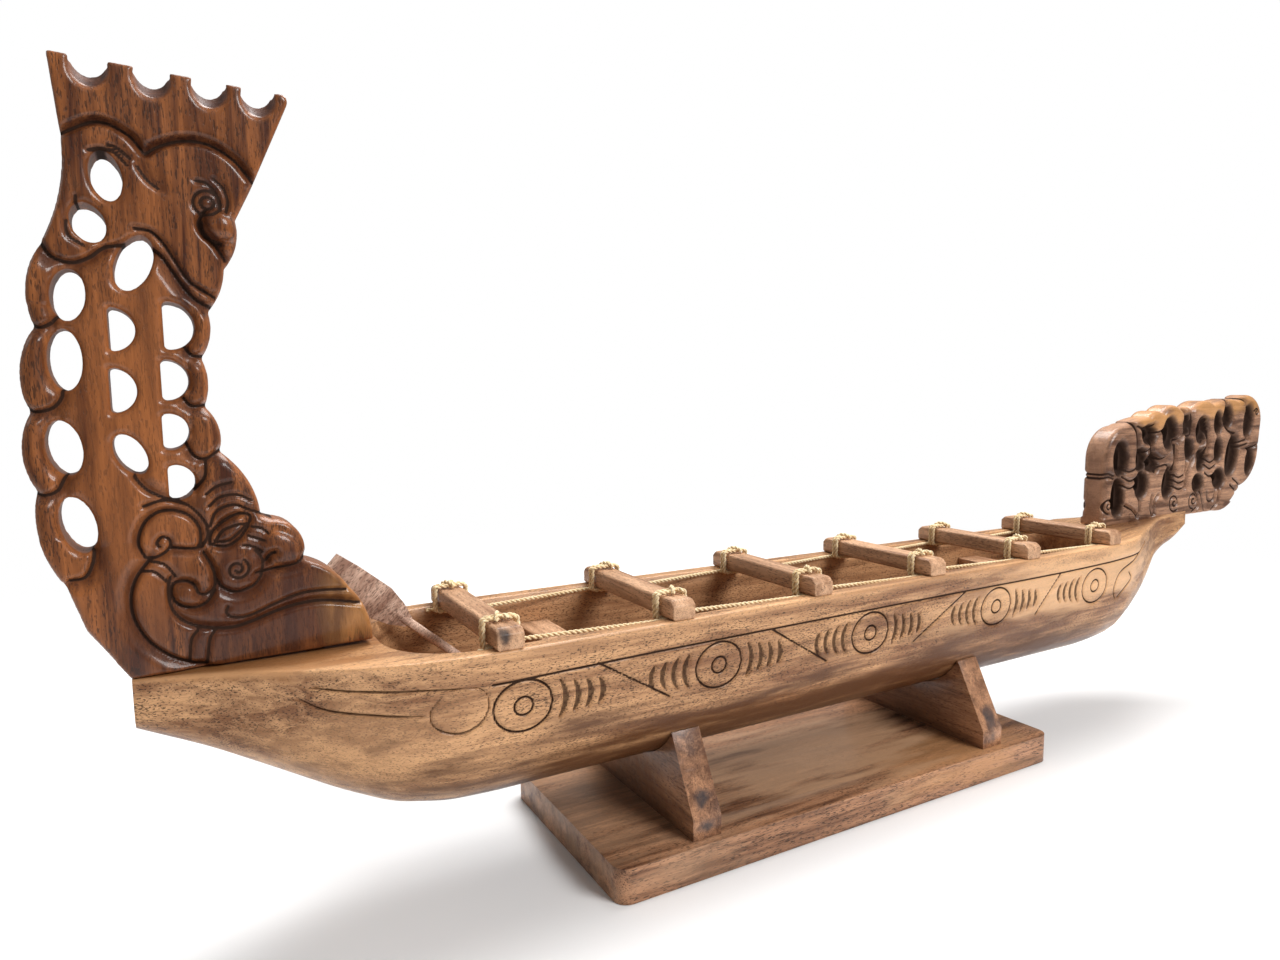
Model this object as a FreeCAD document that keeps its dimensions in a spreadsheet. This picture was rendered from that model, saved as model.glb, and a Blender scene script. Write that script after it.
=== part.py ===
import FreeCAD, Part
import Sketcher

import math
import os

from FreeCAD import Placement, Rotation, Vector

# A carved wooden model war canoe on a cradle stand. +X runs to the bow, +Y to port, +Z up.
# The origin is the middle of the base board's underside. All sizes are in millimetres.

DIMENSIONS = (
    ("base_length", 319, "base board, along the hull"),
    ("base_width", 134, "base board, across the hull"),
    ("base_thickness", 18, "base board"),
    ("base_corner", 8, "radius of the base board's upright corners"),
    ("cradle_stern_x", -106, "middle of the stern cradle"),
    ("cradle_bow_x", 110, "middle of the bow cradle"),
    ("cradle_thickness", 17, "cradle board"),
    ("cradle_foot", 123, "cradle width on the base board"),
    ("cradle_top", 80, "cradle width over the two horns"),
    ("cradle_height", 52, "horn tips above the base board"),
    ("cradle_toe", 11, "upright part of the cradle's outer edge"),
    ("horn_round", 4, "rounding of the horn tips"),
    ("saddle_clearance", 0.4, "hull above its saddle"),
    ("nail_diameter", 3, "nails through the base board into the cradles"),
    ("nail_length", 38, "nails, under the head"),
    ("nail_head_diameter", 6.4, "nail heads"),
    ("nail_head_height", 1.2, "nail heads"),
    ("nail_head_sink", 1.8, "nail heads let into the base board"),
    ("nail_span", 88, "between the two nails of a cradle"),
    ("nail_clearance", 0.1, "bore over nail, on the radius"),
    ("keel_clearance", 28, "keel above the base board"),
    ("hull_depth", 84, "keel to deck amidships"),
    ("stern_tip_x", -352, "stern end of the hull"),
    ("bow_tip_x", 412, "bow end of the hull"),
    ("beam_aft", 108, "beam at the first thwart"),
    ("beam_fore", 93, "beam at the last thwart"),
    ("tip_width", 21, "width of the hull at both tips"),
    ("stern_rise", 61, "keel at the stern tip above the keel amidships"),
    ("bow_rise", 67, "keel at the bow tip above the keel amidships"),
    ("sheer_rise", 4, "bow deck above the gunwales"),
    ("sheer_ramp", 24, "length of the step up to the bow deck"),
    ("stern_deck", 99, "stern tip to the opening"),
    ("bow_deck", 130, "opening to the bow tip"),
    ("gunwale_width", 9.5, "hull wall"),
    ("floor_thickness", 13, "hull bottom at the keel"),
    ("opening_stern_corner", 36, "corner radius of the opening, stern end"),
    ("opening_bow_corner", 14, "corner radius of the opening, bow end"),
    ("first_bay", 48, "opening to the middle of the first thwart"),
    ("last_bay", 24.5, "middle of the last thwart to the opening"),
    ("thwart_width", 13.2, "thwarts, along the hull"),
    ("thwart_height", 10.2, "thwarts"),
    ("thwart_inset", 1, "thwart ends inside the gunwale's outer edge"),
    ("thwart_edge", 1, "eased long edges of the thwarts"),
    ("thwart_end_bevel", 3, "bevel over the thwart ends"),
    ("pin_width", 1.6, "square pins from the gunwale into the thwarts"),
    ("pin_length", 14, "pins"),
    ("pin_in_thwart", 7, "pin length inside the thwart"),
    ("pin_clearance", 0.1, "bore over pin, on each side"),
    ("seat_stern_reach", 48, "first thwart to the stern seat board, middle to middle"),
    ("seat_bow_reach", 57.5, "bow seat board to the last thwart, middle to middle"),
    ("seat_width", 19, "seat boards, along the hull"),
    ("seat_thickness", 9, "seat boards"),
    ("seat_drop", 16, "seat top below the gunwale"),
    ("seat_clearance", 0.3, "seat end to the hull wall"),
    ("cord_diameter", 2.2, "lashing cord"),
    ("lashing_pitch", 2.9, "cord turn to cord turn"),
    ("lashing_gap", 0.4, "cord to what it is wound round"),
    ("lashing_bend", 2.6, "bend of the cord over a thwart's edge"),
    ("lashing_sweep", 6, "bend of the cord where it changes lanes"),
    ("lashing_tail", 4, "free end of each cord"),
    ("sternpost_height", 243, "sternpost, foot to crown"),
    ("sternpost_thickness", 20, "sternpost board"),
    ("sternpost_lift", 1.8, "gap under the inner end of the sternpost's foot"),
    ("gouge_radius", 6.4, "gouge that scallops the crown"),
    ("gouge_slope", 35, "slope of the scallops, degrees"),
    ("gouge_depth", 3, "scallop depth on the crown's middle line"),
    ("figurehead_length", 231, "figurehead, end to end"),
    ("figurehead_thickness", 19.5, "figurehead board"),
    ("post_seat_gap", 0.2, "sternpost and figurehead over the deck"),
    ("peg_diameter", 8, "pegs of the sternpost and the figurehead"),
    ("peg_in_post", 12, "peg length inside the carving"),
    ("peg_in_hull", 15, "peg length inside the hull"),
    ("peg_clearance", 0.15, "hull bore over peg, on the radius"),
    ("peg_glue", 0.05, "carving bore over peg, on the radius"),
    ("sternpost_peg_aft", 30, "foot corner to the first sternpost peg"),
    ("sternpost_peg_fore", 72, "foot corner to the second sternpost peg"),
    ("figurehead_offset", 17, "opening to the figurehead"),
    ("figurehead_peg_aft", 31, "figurehead's end to its first peg"),
    ("figurehead_peg_fore", 81, "figurehead's end to its second peg"),
    ("paddle_length", 133, "paddle, end to end"),
    ("blade_length", 51, "paddle blade with its shoulder"),
    ("blade_width", 18, "paddle blade"),
    ("blade_thickness", 4.4, "paddle blade at its ridge"),
    ("blade_edge", 1.6, "paddle blade at its edges"),
    ("shaft_diameter", 4.6, "paddle shaft"),
    ("paddle_slope", 41, "paddle above the horizontal, degrees"),
    ("paddle_y", 28, "paddle to port of the middle plane"),
    ("paddle_gap", 0.3, "paddle to the hull it leans on"),
)

THWARTS = 6
LASHING_TURNS = 2

doc = FreeCAD.newDocument("canoe")
sheet = doc.addObject("Spreadsheet::Sheet", "Dims")
for row, (alias, value, note) in enumerate(DIMENSIONS, start=1):
    sheet.set("A%d" % row, note)
    sheet.set("B%d" % row, str(value))
    sheet.setAlias("B%d" % row, alias)
doc.recompute()

DECK_Z = "Dims.base_thickness + Dims.keel_clearance + Dims.hull_depth"
pieces = []


def dim(alias):
    """One driving size from the sheet."""
    return float(sheet.get(alias))


def keep(obj, label):
    """Give a finished piece its name and list it for writing."""
    obj.Label = label
    pieces.append(obj)
    return obj


def place(obj, **expressions):
    """Tie the x, y or z of a piece's Placement to the sheet."""
    for axis, expression in expressions.items():
        obj.setExpression("Placement.Base." + axis, expression)


def bind(obj, **expressions):
    """Tie sizes of a piece to the sheet."""
    for name, expression in expressions.items():
        obj.setExpression(name, expression)


def solid_feature(name, shape, z_expression=None):
    """A piece or tool whose shape no sketch feature gives."""
    obj = doc.addObject("Part::Feature", name)
    obj.Shape = shape
    if z_expression:
        place(obj, z=z_expression)
    return obj


def cut(name, base, tool):
    obj = doc.addObject("Part::Cut", name)
    obj.Base = base
    obj.Tool = tool
    return obj


def fuse_all(name, shapes):
    obj = doc.addObject("Part::MultiFuse", name)
    obj.Shapes = shapes
    return obj


def group(name, members):
    obj = doc.addObject("Part::Compound", name)
    obj.Links = members
    return obj


def cylinder(name, radius, height, **place_expressions):
    obj = doc.addObject("Part::Cylinder", name)
    bind(obj, Radius=radius, Height=height)
    place(obj, **place_expressions)
    return obj


def sketch_on(body, role, name):
    """A sketch on one of the body's own origin planes."""
    sketch = body.newObject("Sketcher::SketchObject", name)
    plane = [f for f in body.Origin.OriginFeatures if getattr(f, "Role", "") == role][0]
    sketch.AttachmentSupport = [(plane, "")]
    sketch.MapMode = "FlatFace"
    return sketch


def outline(start, *steps):
    """Closed outline: a step of one point is a line, a step of two is an arc through the first."""
    edges = []
    here = Vector(start[0], start[1], 0)
    for step in steps + ((start,),):
        there = Vector(step[-1][0], step[-1][1], 0)
        if len(step) == 2:
            edges.append(Part.Arc(here, Vector(step[0][0], step[0][1], 0), there))
        elif (there - here).Length > 1e-6:
            edges.append(Part.LineSegment(here, there))
        here = there
    return edges


def oval(u, v, half_width, half_height, tilt):
    """A long round-ended piercing, its height axis turned by tilt degrees towards -u."""
    turn = math.radians(tilt)
    across = Vector(math.cos(turn), math.sin(turn), 0)
    along = Vector(-math.sin(turn), math.cos(turn), 0)
    if half_width > half_height:
        across, along = along, across
        half_width, half_height = half_height, half_width
    centre = Vector(u, v, 0)
    straight = along * max(half_height - half_width, 0.01)
    side = across * half_width
    tip = along * max(half_height, half_width + 0.01)
    top = Part.Arc(centre + straight + side, centre + tip, centre + straight - side)
    foot = Part.Arc(centre - straight - side, centre - tip, centre - straight + side)
    return [top, Part.LineSegment(top.EndPoint, foot.StartPoint), foot,
            Part.LineSegment(foot.EndPoint, top.StartPoint)]


def pad(body, sketch, name, length):
    feature = body.newObject("PartDesign::Pad", name)
    feature.Profile = sketch
    feature.SideType = "Symmetric"
    bind(feature, Length=length)
    return feature


def pocket_through(body, sketch, name):
    """Cut a sketch right through both sides of a body."""
    feature = body.newObject("PartDesign::Pocket", name)
    feature.Profile = sketch
    feature.SideType = "Symmetric"
    feature.Type = "ThroughAll"
    return feature


# Stand

def base_board():
    body = doc.addObject("PartDesign::Body", "BaseBoard")
    sketch = sketch_on(body, "XY_Plane", "BaseOutline")
    half_l = dim("base_length") / 2
    half_w = dim("base_width") / 2
    corners = [(-half_l, -half_w), (half_l, -half_w), (half_l, half_w), (-half_l, half_w)]
    sketch.addGeometry(outline(corners[0], *[(corner,) for corner in corners[1:]]), False)
    for side in range(4):
        sketch.addConstraint(Sketcher.Constraint("Coincident", side, 2, (side + 1) % 4, 1))
        direction = "Horizontal" if side % 2 == 0 else "Vertical"
        sketch.addConstraint(Sketcher.Constraint(direction, side))
    sketch.addConstraint(Sketcher.Constraint("Symmetric", 0, 1, 2, 1, -1, 1))
    length = sketch.addConstraint(Sketcher.Constraint("DistanceX", 0, 1, 0, 2, 2 * half_l))
    width = sketch.addConstraint(Sketcher.Constraint("DistanceY", 1, 1, 1, 2, 2 * half_w))
    bind(sketch, **{"Constraints[%d]" % length: "Dims.base_length"})
    bind(sketch, **{"Constraints[%d]" % width: "Dims.base_width"})
    board = body.newObject("PartDesign::Pad", "BasePad")
    board.Profile = sketch
    bind(board, Length="Dims.base_thickness")
    doc.recompute()
    upright = ["Edge%d" % (i + 1) for i, e in enumerate(board.Shape.Edges)
               if abs(e.tangentAt(e.FirstParameter).z) > 0.99]
    rounded = body.newObject("PartDesign::Fillet", "BaseCorners")
    rounded.Base = (board, upright)
    bind(rounded, Radius="Dims.base_corner")
    return body


def cradle_block(name, x_alias):
    """The cradle board before its saddle is hollowed to the hull."""
    body = doc.addObject("PartDesign::Body", name)
    sketch = sketch_on(body, "YZ_Plane", name + "Profile")
    foot = dim("cradle_foot") / 2
    top = dim("cradle_top") / 2
    height = dim("cradle_height")
    toe = dim("cradle_toe")
    sketch.addGeometry(outline((-foot, 0), ((foot, 0),), ((foot, toe),), ((top, height),),
                               ((-top, height),), ((-foot, toe),)), False)
    board = pad(body, sketch, name + "Pad", "Dims.cradle_thickness")
    doc.recompute()
    tips = ["Edge%d" % (i + 1) for i, e in enumerate(board.Shape.Edges)
            if abs(e.CenterOfMass.z - height) < 1e-3 and abs(abs(e.CenterOfMass.y) - top) < 1e-3]
    horns = body.newObject("PartDesign::Fillet", name + "Horns")
    horns.Base = (board, tips)
    bind(horns, Radius="Dims.horn_round")
    place(body, x="Dims." + x_alias, z="Dims.base_thickness")
    return body


def nail(name, x_alias, side):
    """One round-head nail, driven up from under the base board."""
    place_at = {"x": "Dims." + x_alias, "y": "%d * Dims.nail_span / 2" % side}
    sink = "Dims.nail_head_sink - Dims.nail_head_height"
    head = cylinder(name + "Head", "Dims.nail_head_diameter / 2", "Dims.nail_head_height", z=sink, **place_at)
    shank = cylinder(name + "Shank", "Dims.nail_diameter / 2", "Dims.nail_length",
                     z="Dims.nail_head_sink", **place_at)
    return fuse_all(name, [head, shank])


def nail_bore(name, x_alias, side):
    """The room that a nail takes in the board and the cradle, with its clearance."""
    place_at = {"x": "Dims." + x_alias, "y": "%d * Dims.nail_span / 2" % side}
    recess = cylinder(name + "Recess", "Dims.nail_head_diameter / 2 + Dims.nail_clearance",
                      "Dims.nail_head_sink", z="0", **place_at)
    bore = cylinder(name + "Bore", "Dims.nail_diameter / 2 + Dims.nail_clearance",
                    "Dims.nail_head_sink + Dims.nail_length + Dims.nail_clearance", z="0", **place_at)
    return fuse_all(name, [recess, bore])


# Hull: a section is an arc from chine to chine through the keel, with straight sides above it.
# The chine is given as shares of the half beam and of the depth: the round hull's, then the square tips'.

ROUND_CHINE = (0.925, 0.52)
SQUARE_CHINE = (1.0, 0.35)
TOP = 14

# Each station: distance from the tip, spread from tip width to full beam, keel rise, squareness.
STERN_STATIONS = ((0, 0.0, 1.0, 0.8), (27, 0.16, 0.78, 0.5), (52, 0.43, 0.54, 0.25),
                  (77, 0.69, 0.295, 0.1), (100, 0.885, 0.105, 0.0), (125, 0.977, 0.015, 0.0))
BOW_STATIONS = ((125, 0.917, 0.05, 0.0), (104, 0.75, 0.165, 0.0), (87, 0.556, 0.29, 0.1),
                (67, 0.32, 0.475, 0.25), (50, 0.14, 0.68, 0.5), (30, 0.03, 0.815, 0.8),
                (12, 0.01, 0.88, 1.0), (0, 0.0, 1.0, 1.0))


def opening_ends():
    return dim("stern_tip_x") + dim("stern_deck"), dim("bow_tip_x") - dim("bow_deck")


def thwart_x(number):
    """Middle of a thwart, counted from 1 at the stern."""
    first = opening_ends()[0] + dim("first_bay")
    last = opening_ends()[1] - dim("last_bay")
    return first + (last - first) * (number - 1) / (THWARTS - 1)


def hull_stations():
    """Stations from stern to bow: x, half beam, keel below the deck, squareness."""
    tip = dim("tip_width") / 2
    aft = dim("beam_aft") / 2
    fore = dim("beam_fore") / 2
    depth = dim("hull_depth")
    rows = []
    for run, spread, rise, square in STERN_STATIONS:
        rows.append((dim("stern_tip_x") + run, tip + (aft - tip) * spread,
                     -depth + dim("stern_rise") * rise, square))
    for number in range(1, THWARTS + 1):
        share = (number - 1) / (THWARTS - 1)
        rows.append((thwart_x(number), aft + (fore - aft) * share, -depth, 0.0))
    for run, spread, rise, square in BOW_STATIONS:
        rows.append((dim("bow_tip_x") - run, tip + (fore - tip) * spread,
                     -depth + dim("bow_rise") * rise, square))
    return rows


def hull_at(x):
    """Half beam and keel height at any x, straight between the stations."""
    rows = hull_stations()
    for one, two in zip(rows, rows[1:]):
        if one[0] <= x <= two[0]:
            share = (x - one[0]) / (two[0] - one[0])
            return tuple(one[i] + (two[i] - one[i]) * share for i in (1, 2, 3))
    return rows[-1][1:]


def section_wire(x, half, keel, square):
    """One closed cross-section, carried up past the gunwales to a straight top."""
    width = half * (ROUND_CHINE[0] + (SQUARE_CHINE[0] - ROUND_CHINE[0]) * square)
    low = keel * (1 - ROUND_CHINE[1] - (SQUARE_CHINE[1] - ROUND_CHINE[1]) * square)
    flare = (half - width) / -low
    chine = Vector(x, width, low)
    top = Vector(x, half + flare * TOP, TOP)
    far_chine = Vector(x, -chine.y, chine.z)
    far_top = Vector(x, -top.y, top.z)
    bottom = Part.Arc(chine, Vector(x, 0, keel), far_chine)
    edges = [Part.LineSegment(top, chine), bottom, Part.LineSegment(far_chine, far_top),
             Part.LineSegment(far_top, top)]
    return Part.Wire([edge.toShape() for edge in edges])


def hull_form():
    """The whole hull before it is hollowed, cut off along the sheer."""
    form = Part.makeLoft([section_wire(*row) for row in hull_stations()], True, True)
    beam = dim("beam_aft")
    stern = dim("stern_tip_x") - beam
    bow = dim("bow_tip_x") + beam
    ramp = opening_ends()[1]
    rise = dim("sheer_rise")
    sheer = [Vector(stern, -beam, 0), Vector(ramp, -beam, 0), Vector(ramp + dim("sheer_ramp"), -beam, rise),
             Vector(bow, -beam, rise), Vector(bow, -beam, 3 * TOP), Vector(stern, -beam, 3 * TOP)]
    above = Part.Face(Part.makePolygon(sheer + sheer[:1])).extrude(Vector(0, 2 * beam, 0))
    return form.cut(above)


def inside_form(shrink):
    """The room between the hull's walls, drawn in by shrink all round."""
    stern, bow = opening_ends()
    wires = []
    ends = [stern - dim("gunwale_width"), stern + dim("opening_stern_corner")]
    for x in ends + [thwart_x(n) for n in range(1, THWARTS + 1)] + [bow, bow + dim("gunwale_width")]:
        half, keel, square = hull_at(x)
        half -= dim("gunwale_width") + shrink
        wires.append(section_wire(x, half, keel + dim("floor_thickness") + shrink, 0.0))
    return Part.makeLoft(wires, True, True)


def opening_plan():
    """The opening seen from above: wide round corners at the stern, tight ones at the bow."""
    stern, bow = opening_ends()
    aft = dim("opening_stern_corner")
    fore = dim("opening_bow_corner")
    half_s = hull_at(stern + aft)[0] - dim("gunwale_width")
    half_b = hull_at(bow - fore)[0] - dim("gunwale_width")
    wide = dim("beam_aft")
    s45 = 1 - math.sqrt(0.5)
    edges = outline((stern, -(half_s - aft)),
                    ((stern + aft * s45, -(half_s - aft * s45)), (stern + aft, -half_s)),
                    ((stern + aft, -wide),), ((bow - fore, -wide),), ((bow - fore, -half_b),),
                    ((bow - fore * s45, -(half_b - fore * s45)), (bow, -(half_b - fore))),
                    ((bow, half_b - fore),),
                    ((bow - fore * s45, half_b - fore * s45), (bow - fore, half_b)),
                    ((bow - fore, wide),), ((stern + aft, wide),), ((stern + aft, half_s),),
                    ((stern + aft * s45, half_s - aft * s45), (stern, half_s - aft)))
    wire = Part.Wire([edge.toShape() for edge in edges])
    wire.translate(Vector(0, 0, -dim("hull_depth")))
    return Part.Face(wire).extrude(Vector(0, 0, dim("hull_depth") + TOP))


def peg_bores(name, xs, z_expression):
    """Bores in the hull for the pegs of one carving."""
    bores = [cylinder("%s%d" % (name, i), "Dims.peg_diameter / 2 + Dims.peg_clearance",
                      "Dims.peg_in_hull + 3", x=x, z=z_expression + " - Dims.peg_in_hull - 1")
             for i, x in enumerate(xs)]
    return fuse_all(name, bores)


# Carvings: both are boards sawn to an outline, pierced, and set on pegs.

STERNPOST_DRAWN = 243
FIGUREHEAD_DRAWN = 231

# An outline's step of two points is an arc through the first of them to the second.
STERNPOST_BACK = (
    ((94.5, 14), (87, 27)), ((79, 36.5), (68, 42)),
    ((68, 52), (58, 61)), ((52, 63),),
    ((48, 78), (37.5, 91)),
    ((38, 101), (33, 110)), ((35, 119), (33, 130)), ((37, 140), (36.5, 149)),
    ((41, 156), (43.5, 167)),
    ((48.5, 176), (48.5, 186)),
    ((56, 201),), ((71, 235),), ((70.5, 238.5), (67, 239)),
    ((-12, 243),), ((-9.5, 213),),
    ((-12, 190), (-18.5, 173)),
    ((-24.3, 158), (-23, 141.5)), ((-28.8, 124), (-26.5, 109)), ((-30.2, 94), (-26.5, 79)),
    ((-27, 59), (-19.5, 40.5)),
    ((-14, 22),),
)
FOOT_LENGTH = 96

# Round piercings of the sternpost: middle, half width, half height, tilt.
STERNPOST_OVALS = ((4, 199.5, 5, 9.5, 8), (-3, 181.3, 5.3, 7.7, 20), (11.3, 167, 5.7, 11.5, -22),
                   (-11.4, 153.8, 5.3, 10, -6), (-14, 129, 5.3, 11.8, 0), (-16.5, 95, 5.5, 10.8, 8),
                   (5.5, 91.5, 4.6, 8.8, 27), (-14, 64.6, 5.5, 11.4, 12))

# Piercings with a straight inner side: that side's u, the far side's u, middle height, half height.
STERNPOST_DEES = ((1, 10.2, 141, 8.6), (20, 31.2, 142.8, 9.4), (0, 9.3, 117, 9), (18, 28, 121, 8),
                  (17.2, 27, 100, 7), (18, 28, 79, 7))

CROWN_SCALLOPS = ((1, 242.3), (22, 241.2), (42, 240.2), (60, 239.3))

FIGUREHEAD_OUTLINE = (
    (0, 0), ((159, 0),), ((176, 0.8), (190, 8)), ((202, 18.5),), ((221, 30), (228.5, 50)),
    ((231, 77),), ((223, 93.5), (207, 99.5)), ((199, 98), (193, 94.5)), ((173, 96.5), (154, 92)),
    ((138, 95.5), (120, 88.5)), ((112, 90.8), (103, 88.5)), ((91, 92.8), (77, 86.5)),
    ((68, 88.5), (58, 84)), ((42, 81.8), (26, 77.5)), ((8, 70), (0.5, 50)),
)

# Piercings of the figurehead: middle, half width, half height, tilt.
FIGUREHEAD_OVALS = ((58, 70, 5.5, 4, 0), (49, 50, 3.8, 5.5, 0), (64.5, 46.5, 5, 3.6, 0), (50, 30, 5, 7, -10),
                    (87, 70, 6, 9, -10), (88, 29.5, 4.6, 9, -15), (113, 76, 3.6, 4.6, 0),
                    (135, 71, 5.6, 7.4, -15), (116, 56, 2.6, 5, 10), (159.5, 76.5, 2.6, 5, 0),
                    (174, 81, 3.4, 5.4, -10), (136, 45.5, 2.8, 5.4, -20), (132, 26, 4.2, 3.8, 0),
                    (161.5, 53, 2.4, 5.2, 0), (165, 28, 6, 4.4, 0), (184, 47, 6, 14, -12),
                    (208.5, 77, 3.8, 9.4, -10), (214.5, 41, 3.2, 8, -12))

# The two upright slots under the first arch: middle, half width, bottom, top.
FIGUREHEAD_SLOTS = ((21, 5.6, 42, 61.5), (18.5, 4.6, 10.5, 32.5))


def sternpost_outline():
    """The sternpost's outline, its foot lifted a little at the inner end."""
    return ((0, 0), ((FOOT_LENGTH, dim("sternpost_lift")),)) + STERNPOST_BACK


def scaled(edges, factor):
    """Sketch edges drawn at one size, brought to another."""
    matrix = FreeCAD.Matrix()
    matrix.scale(factor, factor, factor)
    for edge in edges:
        edge.transform(matrix)
    return edges


def dee(flat, far, middle, half):
    """A piercing with one straight upright side."""
    return outline((flat, middle - half), ((far, middle), (flat, middle + half)))


def slot(middle, half, low, high):
    """An upright slot with a square foot and a round head."""
    spring = high - half
    return outline((middle - half, low), ((middle + half, low),), ((middle + half, spring),),
                   ((middle, high), (middle - half, spring)))


def carved_board(name, edges, piercings, thickness):
    body = doc.addObject("PartDesign::Body", name)
    board = sketch_on(body, "XZ_Plane", name + "Outline")
    board.addGeometry(edges, False)
    pad(body, board, name + "Pad", thickness)
    holes = sketch_on(body, "XZ_Plane", name + "Piercings")
    for edge_list in piercings:
        holes.addGeometry(edge_list, False)
    pocket_through(body, holes, name + "Pierced")
    return body


def crown_gouges(x_expression, z_expression, factor):
    """Gouge cuts that run down from the crown's middle line to either face."""
    cuts = []
    slope = dim("gouge_slope")
    run_in = 4
    for index, (u, v) in enumerate(CROWN_SCALLOPS):
        for side in (-1, 1):
            tool = doc.addObject("Part::Cylinder", "Gouge%d%s" % (index, "ab"[side > 0]))
            bind(tool, Radius="Dims.gouge_radius", Height="2 * Dims.sternpost_thickness")
            tool.Placement = Placement(Vector(0, 0, 0), Rotation(Vector(1, 0, 0), -side * (90 + slope)))
            lift = "%s + %s + Dims.gouge_radius - Dims.gouge_depth" % (z_expression, v * factor)
            place(tool, x="%s + %s" % (x_expression, u * factor),
                  y="%s * cos(Dims.gouge_slope * 1 deg)" % (-side * run_in),
                  z="%s + %s * sin(Dims.gouge_slope * 1 deg)" % (lift, run_in))
            cuts.append(tool)
    return fuse_all("CrownGouges", cuts)


def peg_set(name, xs, z_expression, radius_extra="0", length_extra="0"):
    """Two pegs, or with the extras the bores that hold them in a carving."""
    return [cylinder("%s%d" % (name, i), "Dims.peg_diameter / 2 + " + radius_extra,
                     "Dims.peg_in_hull + Dims.peg_in_post + " + length_extra, x=x,
                     z=z_expression + " - Dims.peg_in_hull") for i, x in enumerate(xs)]


# Thwarts, seats and lashings

def thwart(number):
    """One cross-bar with eased edges and bevelled ends, sitting on both gunwales."""
    body = doc.addObject("PartDesign::Body", "Thwart%d" % number)
    half = dim("thwart_width") / 2
    high = dim("thwart_height")
    ease = dim("thwart_edge")
    sketch = sketch_on(body, "XZ_Plane", "ThwartSection%d" % number)
    sketch.addGeometry(outline((-half + ease, 0), ((half - ease, 0),), ((half, ease),), ((half, high - ease),),
                               ((half - ease, high),), ((-half + ease, high),), ((-half, high - ease),),
                               ((-half, ease),)), False)
    share = "%d / %d" % (number - 1, THWARTS - 1)
    bar = pad(body, sketch, "ThwartPad%d" % number,
              "Dims.beam_aft + (Dims.beam_fore - Dims.beam_aft) * %s - 2 * Dims.thwart_inset" % share)
    doc.recompute()
    ends = ["Edge%d" % (i + 1) for i, e in enumerate(bar.Shape.Edges)
            if abs(e.CenterOfMass.z - high) < 1e-3 and abs(e.tangentAt(e.FirstParameter).x) > 0.99]
    bevel = body.newObject("PartDesign::Chamfer", "ThwartBevel%d" % number)
    bevel.Base = (bar, ends)
    bind(bevel, Size="Dims.thwart_end_bevel")
    place(body, x=str(round(thwart_x(number), 4)), z=DECK_Z)
    return body


def pin_places(number):
    """Pins stand in the middle of the gunwale, under both ends of a thwart."""
    share = (number - 1) / (THWARTS - 1)
    half = (dim("beam_aft") + (dim("beam_fore") - dim("beam_aft")) * share) / 2
    reach = half - dim("gunwale_width") / 2
    return [(thwart_x(number), -reach), (thwart_x(number), reach)]


def pins(name, clearance):
    """All the thwart pins, or with a clearance the square holes that hold them."""
    made = []
    for number in range(1, THWARTS + 1):
        for index, (x, y) in enumerate(pin_places(number)):
            pin = doc.addObject("Part::Box", "%s%d%s" % (name, number, "ab"[index]))
            width = "Dims.pin_width + 2 * " + clearance
            bind(pin, Length=width, Width=width, Height="Dims.pin_length")
            place(pin, x="%.4f - Dims.pin_width / 2 - %s" % (x, clearance),
                  y="%.4f - Dims.pin_width / 2 - %s" % (y, clearance),
                  z=DECK_Z + " + Dims.pin_in_thwart - Dims.pin_length")
            made.append(pin)
    return made


def seat(x):
    """A low board across the hull, its ends shaped to the hull's inside."""
    wide = dim("beam_aft")
    width = dim("seat_width")
    thick = dim("seat_thickness")
    board = Part.makeBox(width, wide, thick, Vector(x - width / 2, -wide / 2, -dim("seat_drop") - thick))
    return board.common(inside_form(dim("seat_clearance")))


def bent_path(corners):
    """Straight runs from corner to corner, each corner rounded by an arc of its own radius."""
    edges = []
    start = corners[0][0]
    for (before, _), (corner, radius), (after, _) in zip(corners, corners[1:], corners[2:]):
        back = (before - corner).normalize()
        ahead = (after - corner).normalize()
        turn = math.pi - back.getAngle(ahead)
        reach = radius * math.tan(turn / 2)
        one = corner + back * reach
        two = corner + ahead * reach
        middle = corner + (back + ahead).normalize() * (radius / math.cos(turn / 2) - radius)
        edges.append(Part.LineSegment(start, one).toShape())
        edges.append(Part.Arc(one, middle, two).toShape())
        start = two
    edges.append(Part.LineSegment(start, corners[-1][0]).toShape())
    return Part.Wire(edges)


def lashing_route(side):
    """One cord's corners and bends: round each thwart, then on along the inside of the gunwale."""
    off = dim("cord_diameter") / 2 + dim("lashing_gap")
    half = dim("thwart_width") / 2 + off
    low = -off
    high = dim("thwart_height") + off
    pitch = dim("lashing_pitch")
    bend = dim("lashing_bend")
    sweep = dim("lashing_sweep")
    lane = half - bend - sweep / 4
    corners = []
    for number in range(1, THWARTS + 1):
        x = thwart_x(number)
        ends = (x - half - dim("lashing_tail"), x + half + dim("lashing_tail"))
        inner = min(hull_at(end)[0] for end in ends) - dim("gunwale_width") - off
        lanes = [side * (inner - pitch * turn) for turn in range(LASHING_TURNS + 2)]
        if number == 1:
            corners.append((Vector(ends[0], lanes[0], low), 0))
        else:
            corners.append((Vector(x - half - sweep, lanes[0], low), 3 * sweep))
        for here, there in zip(lanes, lanes[1:]):
            corners.append((Vector(x - lane, here, low), sweep))
            corners.append((Vector(x + lane, there, low), sweep))
            if there != lanes[-1]:
                corners += [(Vector(x + half, there, low), bend), (Vector(x + half, there, high), bend),
                            (Vector(x - half, there, high), bend), (Vector(x - half, there, low), bend)]
        if number == THWARTS:
            corners.append((Vector(ends[1], lanes[-1], low), 0))
        else:
            corners.append((Vector(x + half + sweep, lanes[-1], low), 3 * sweep))
    return corners


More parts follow.
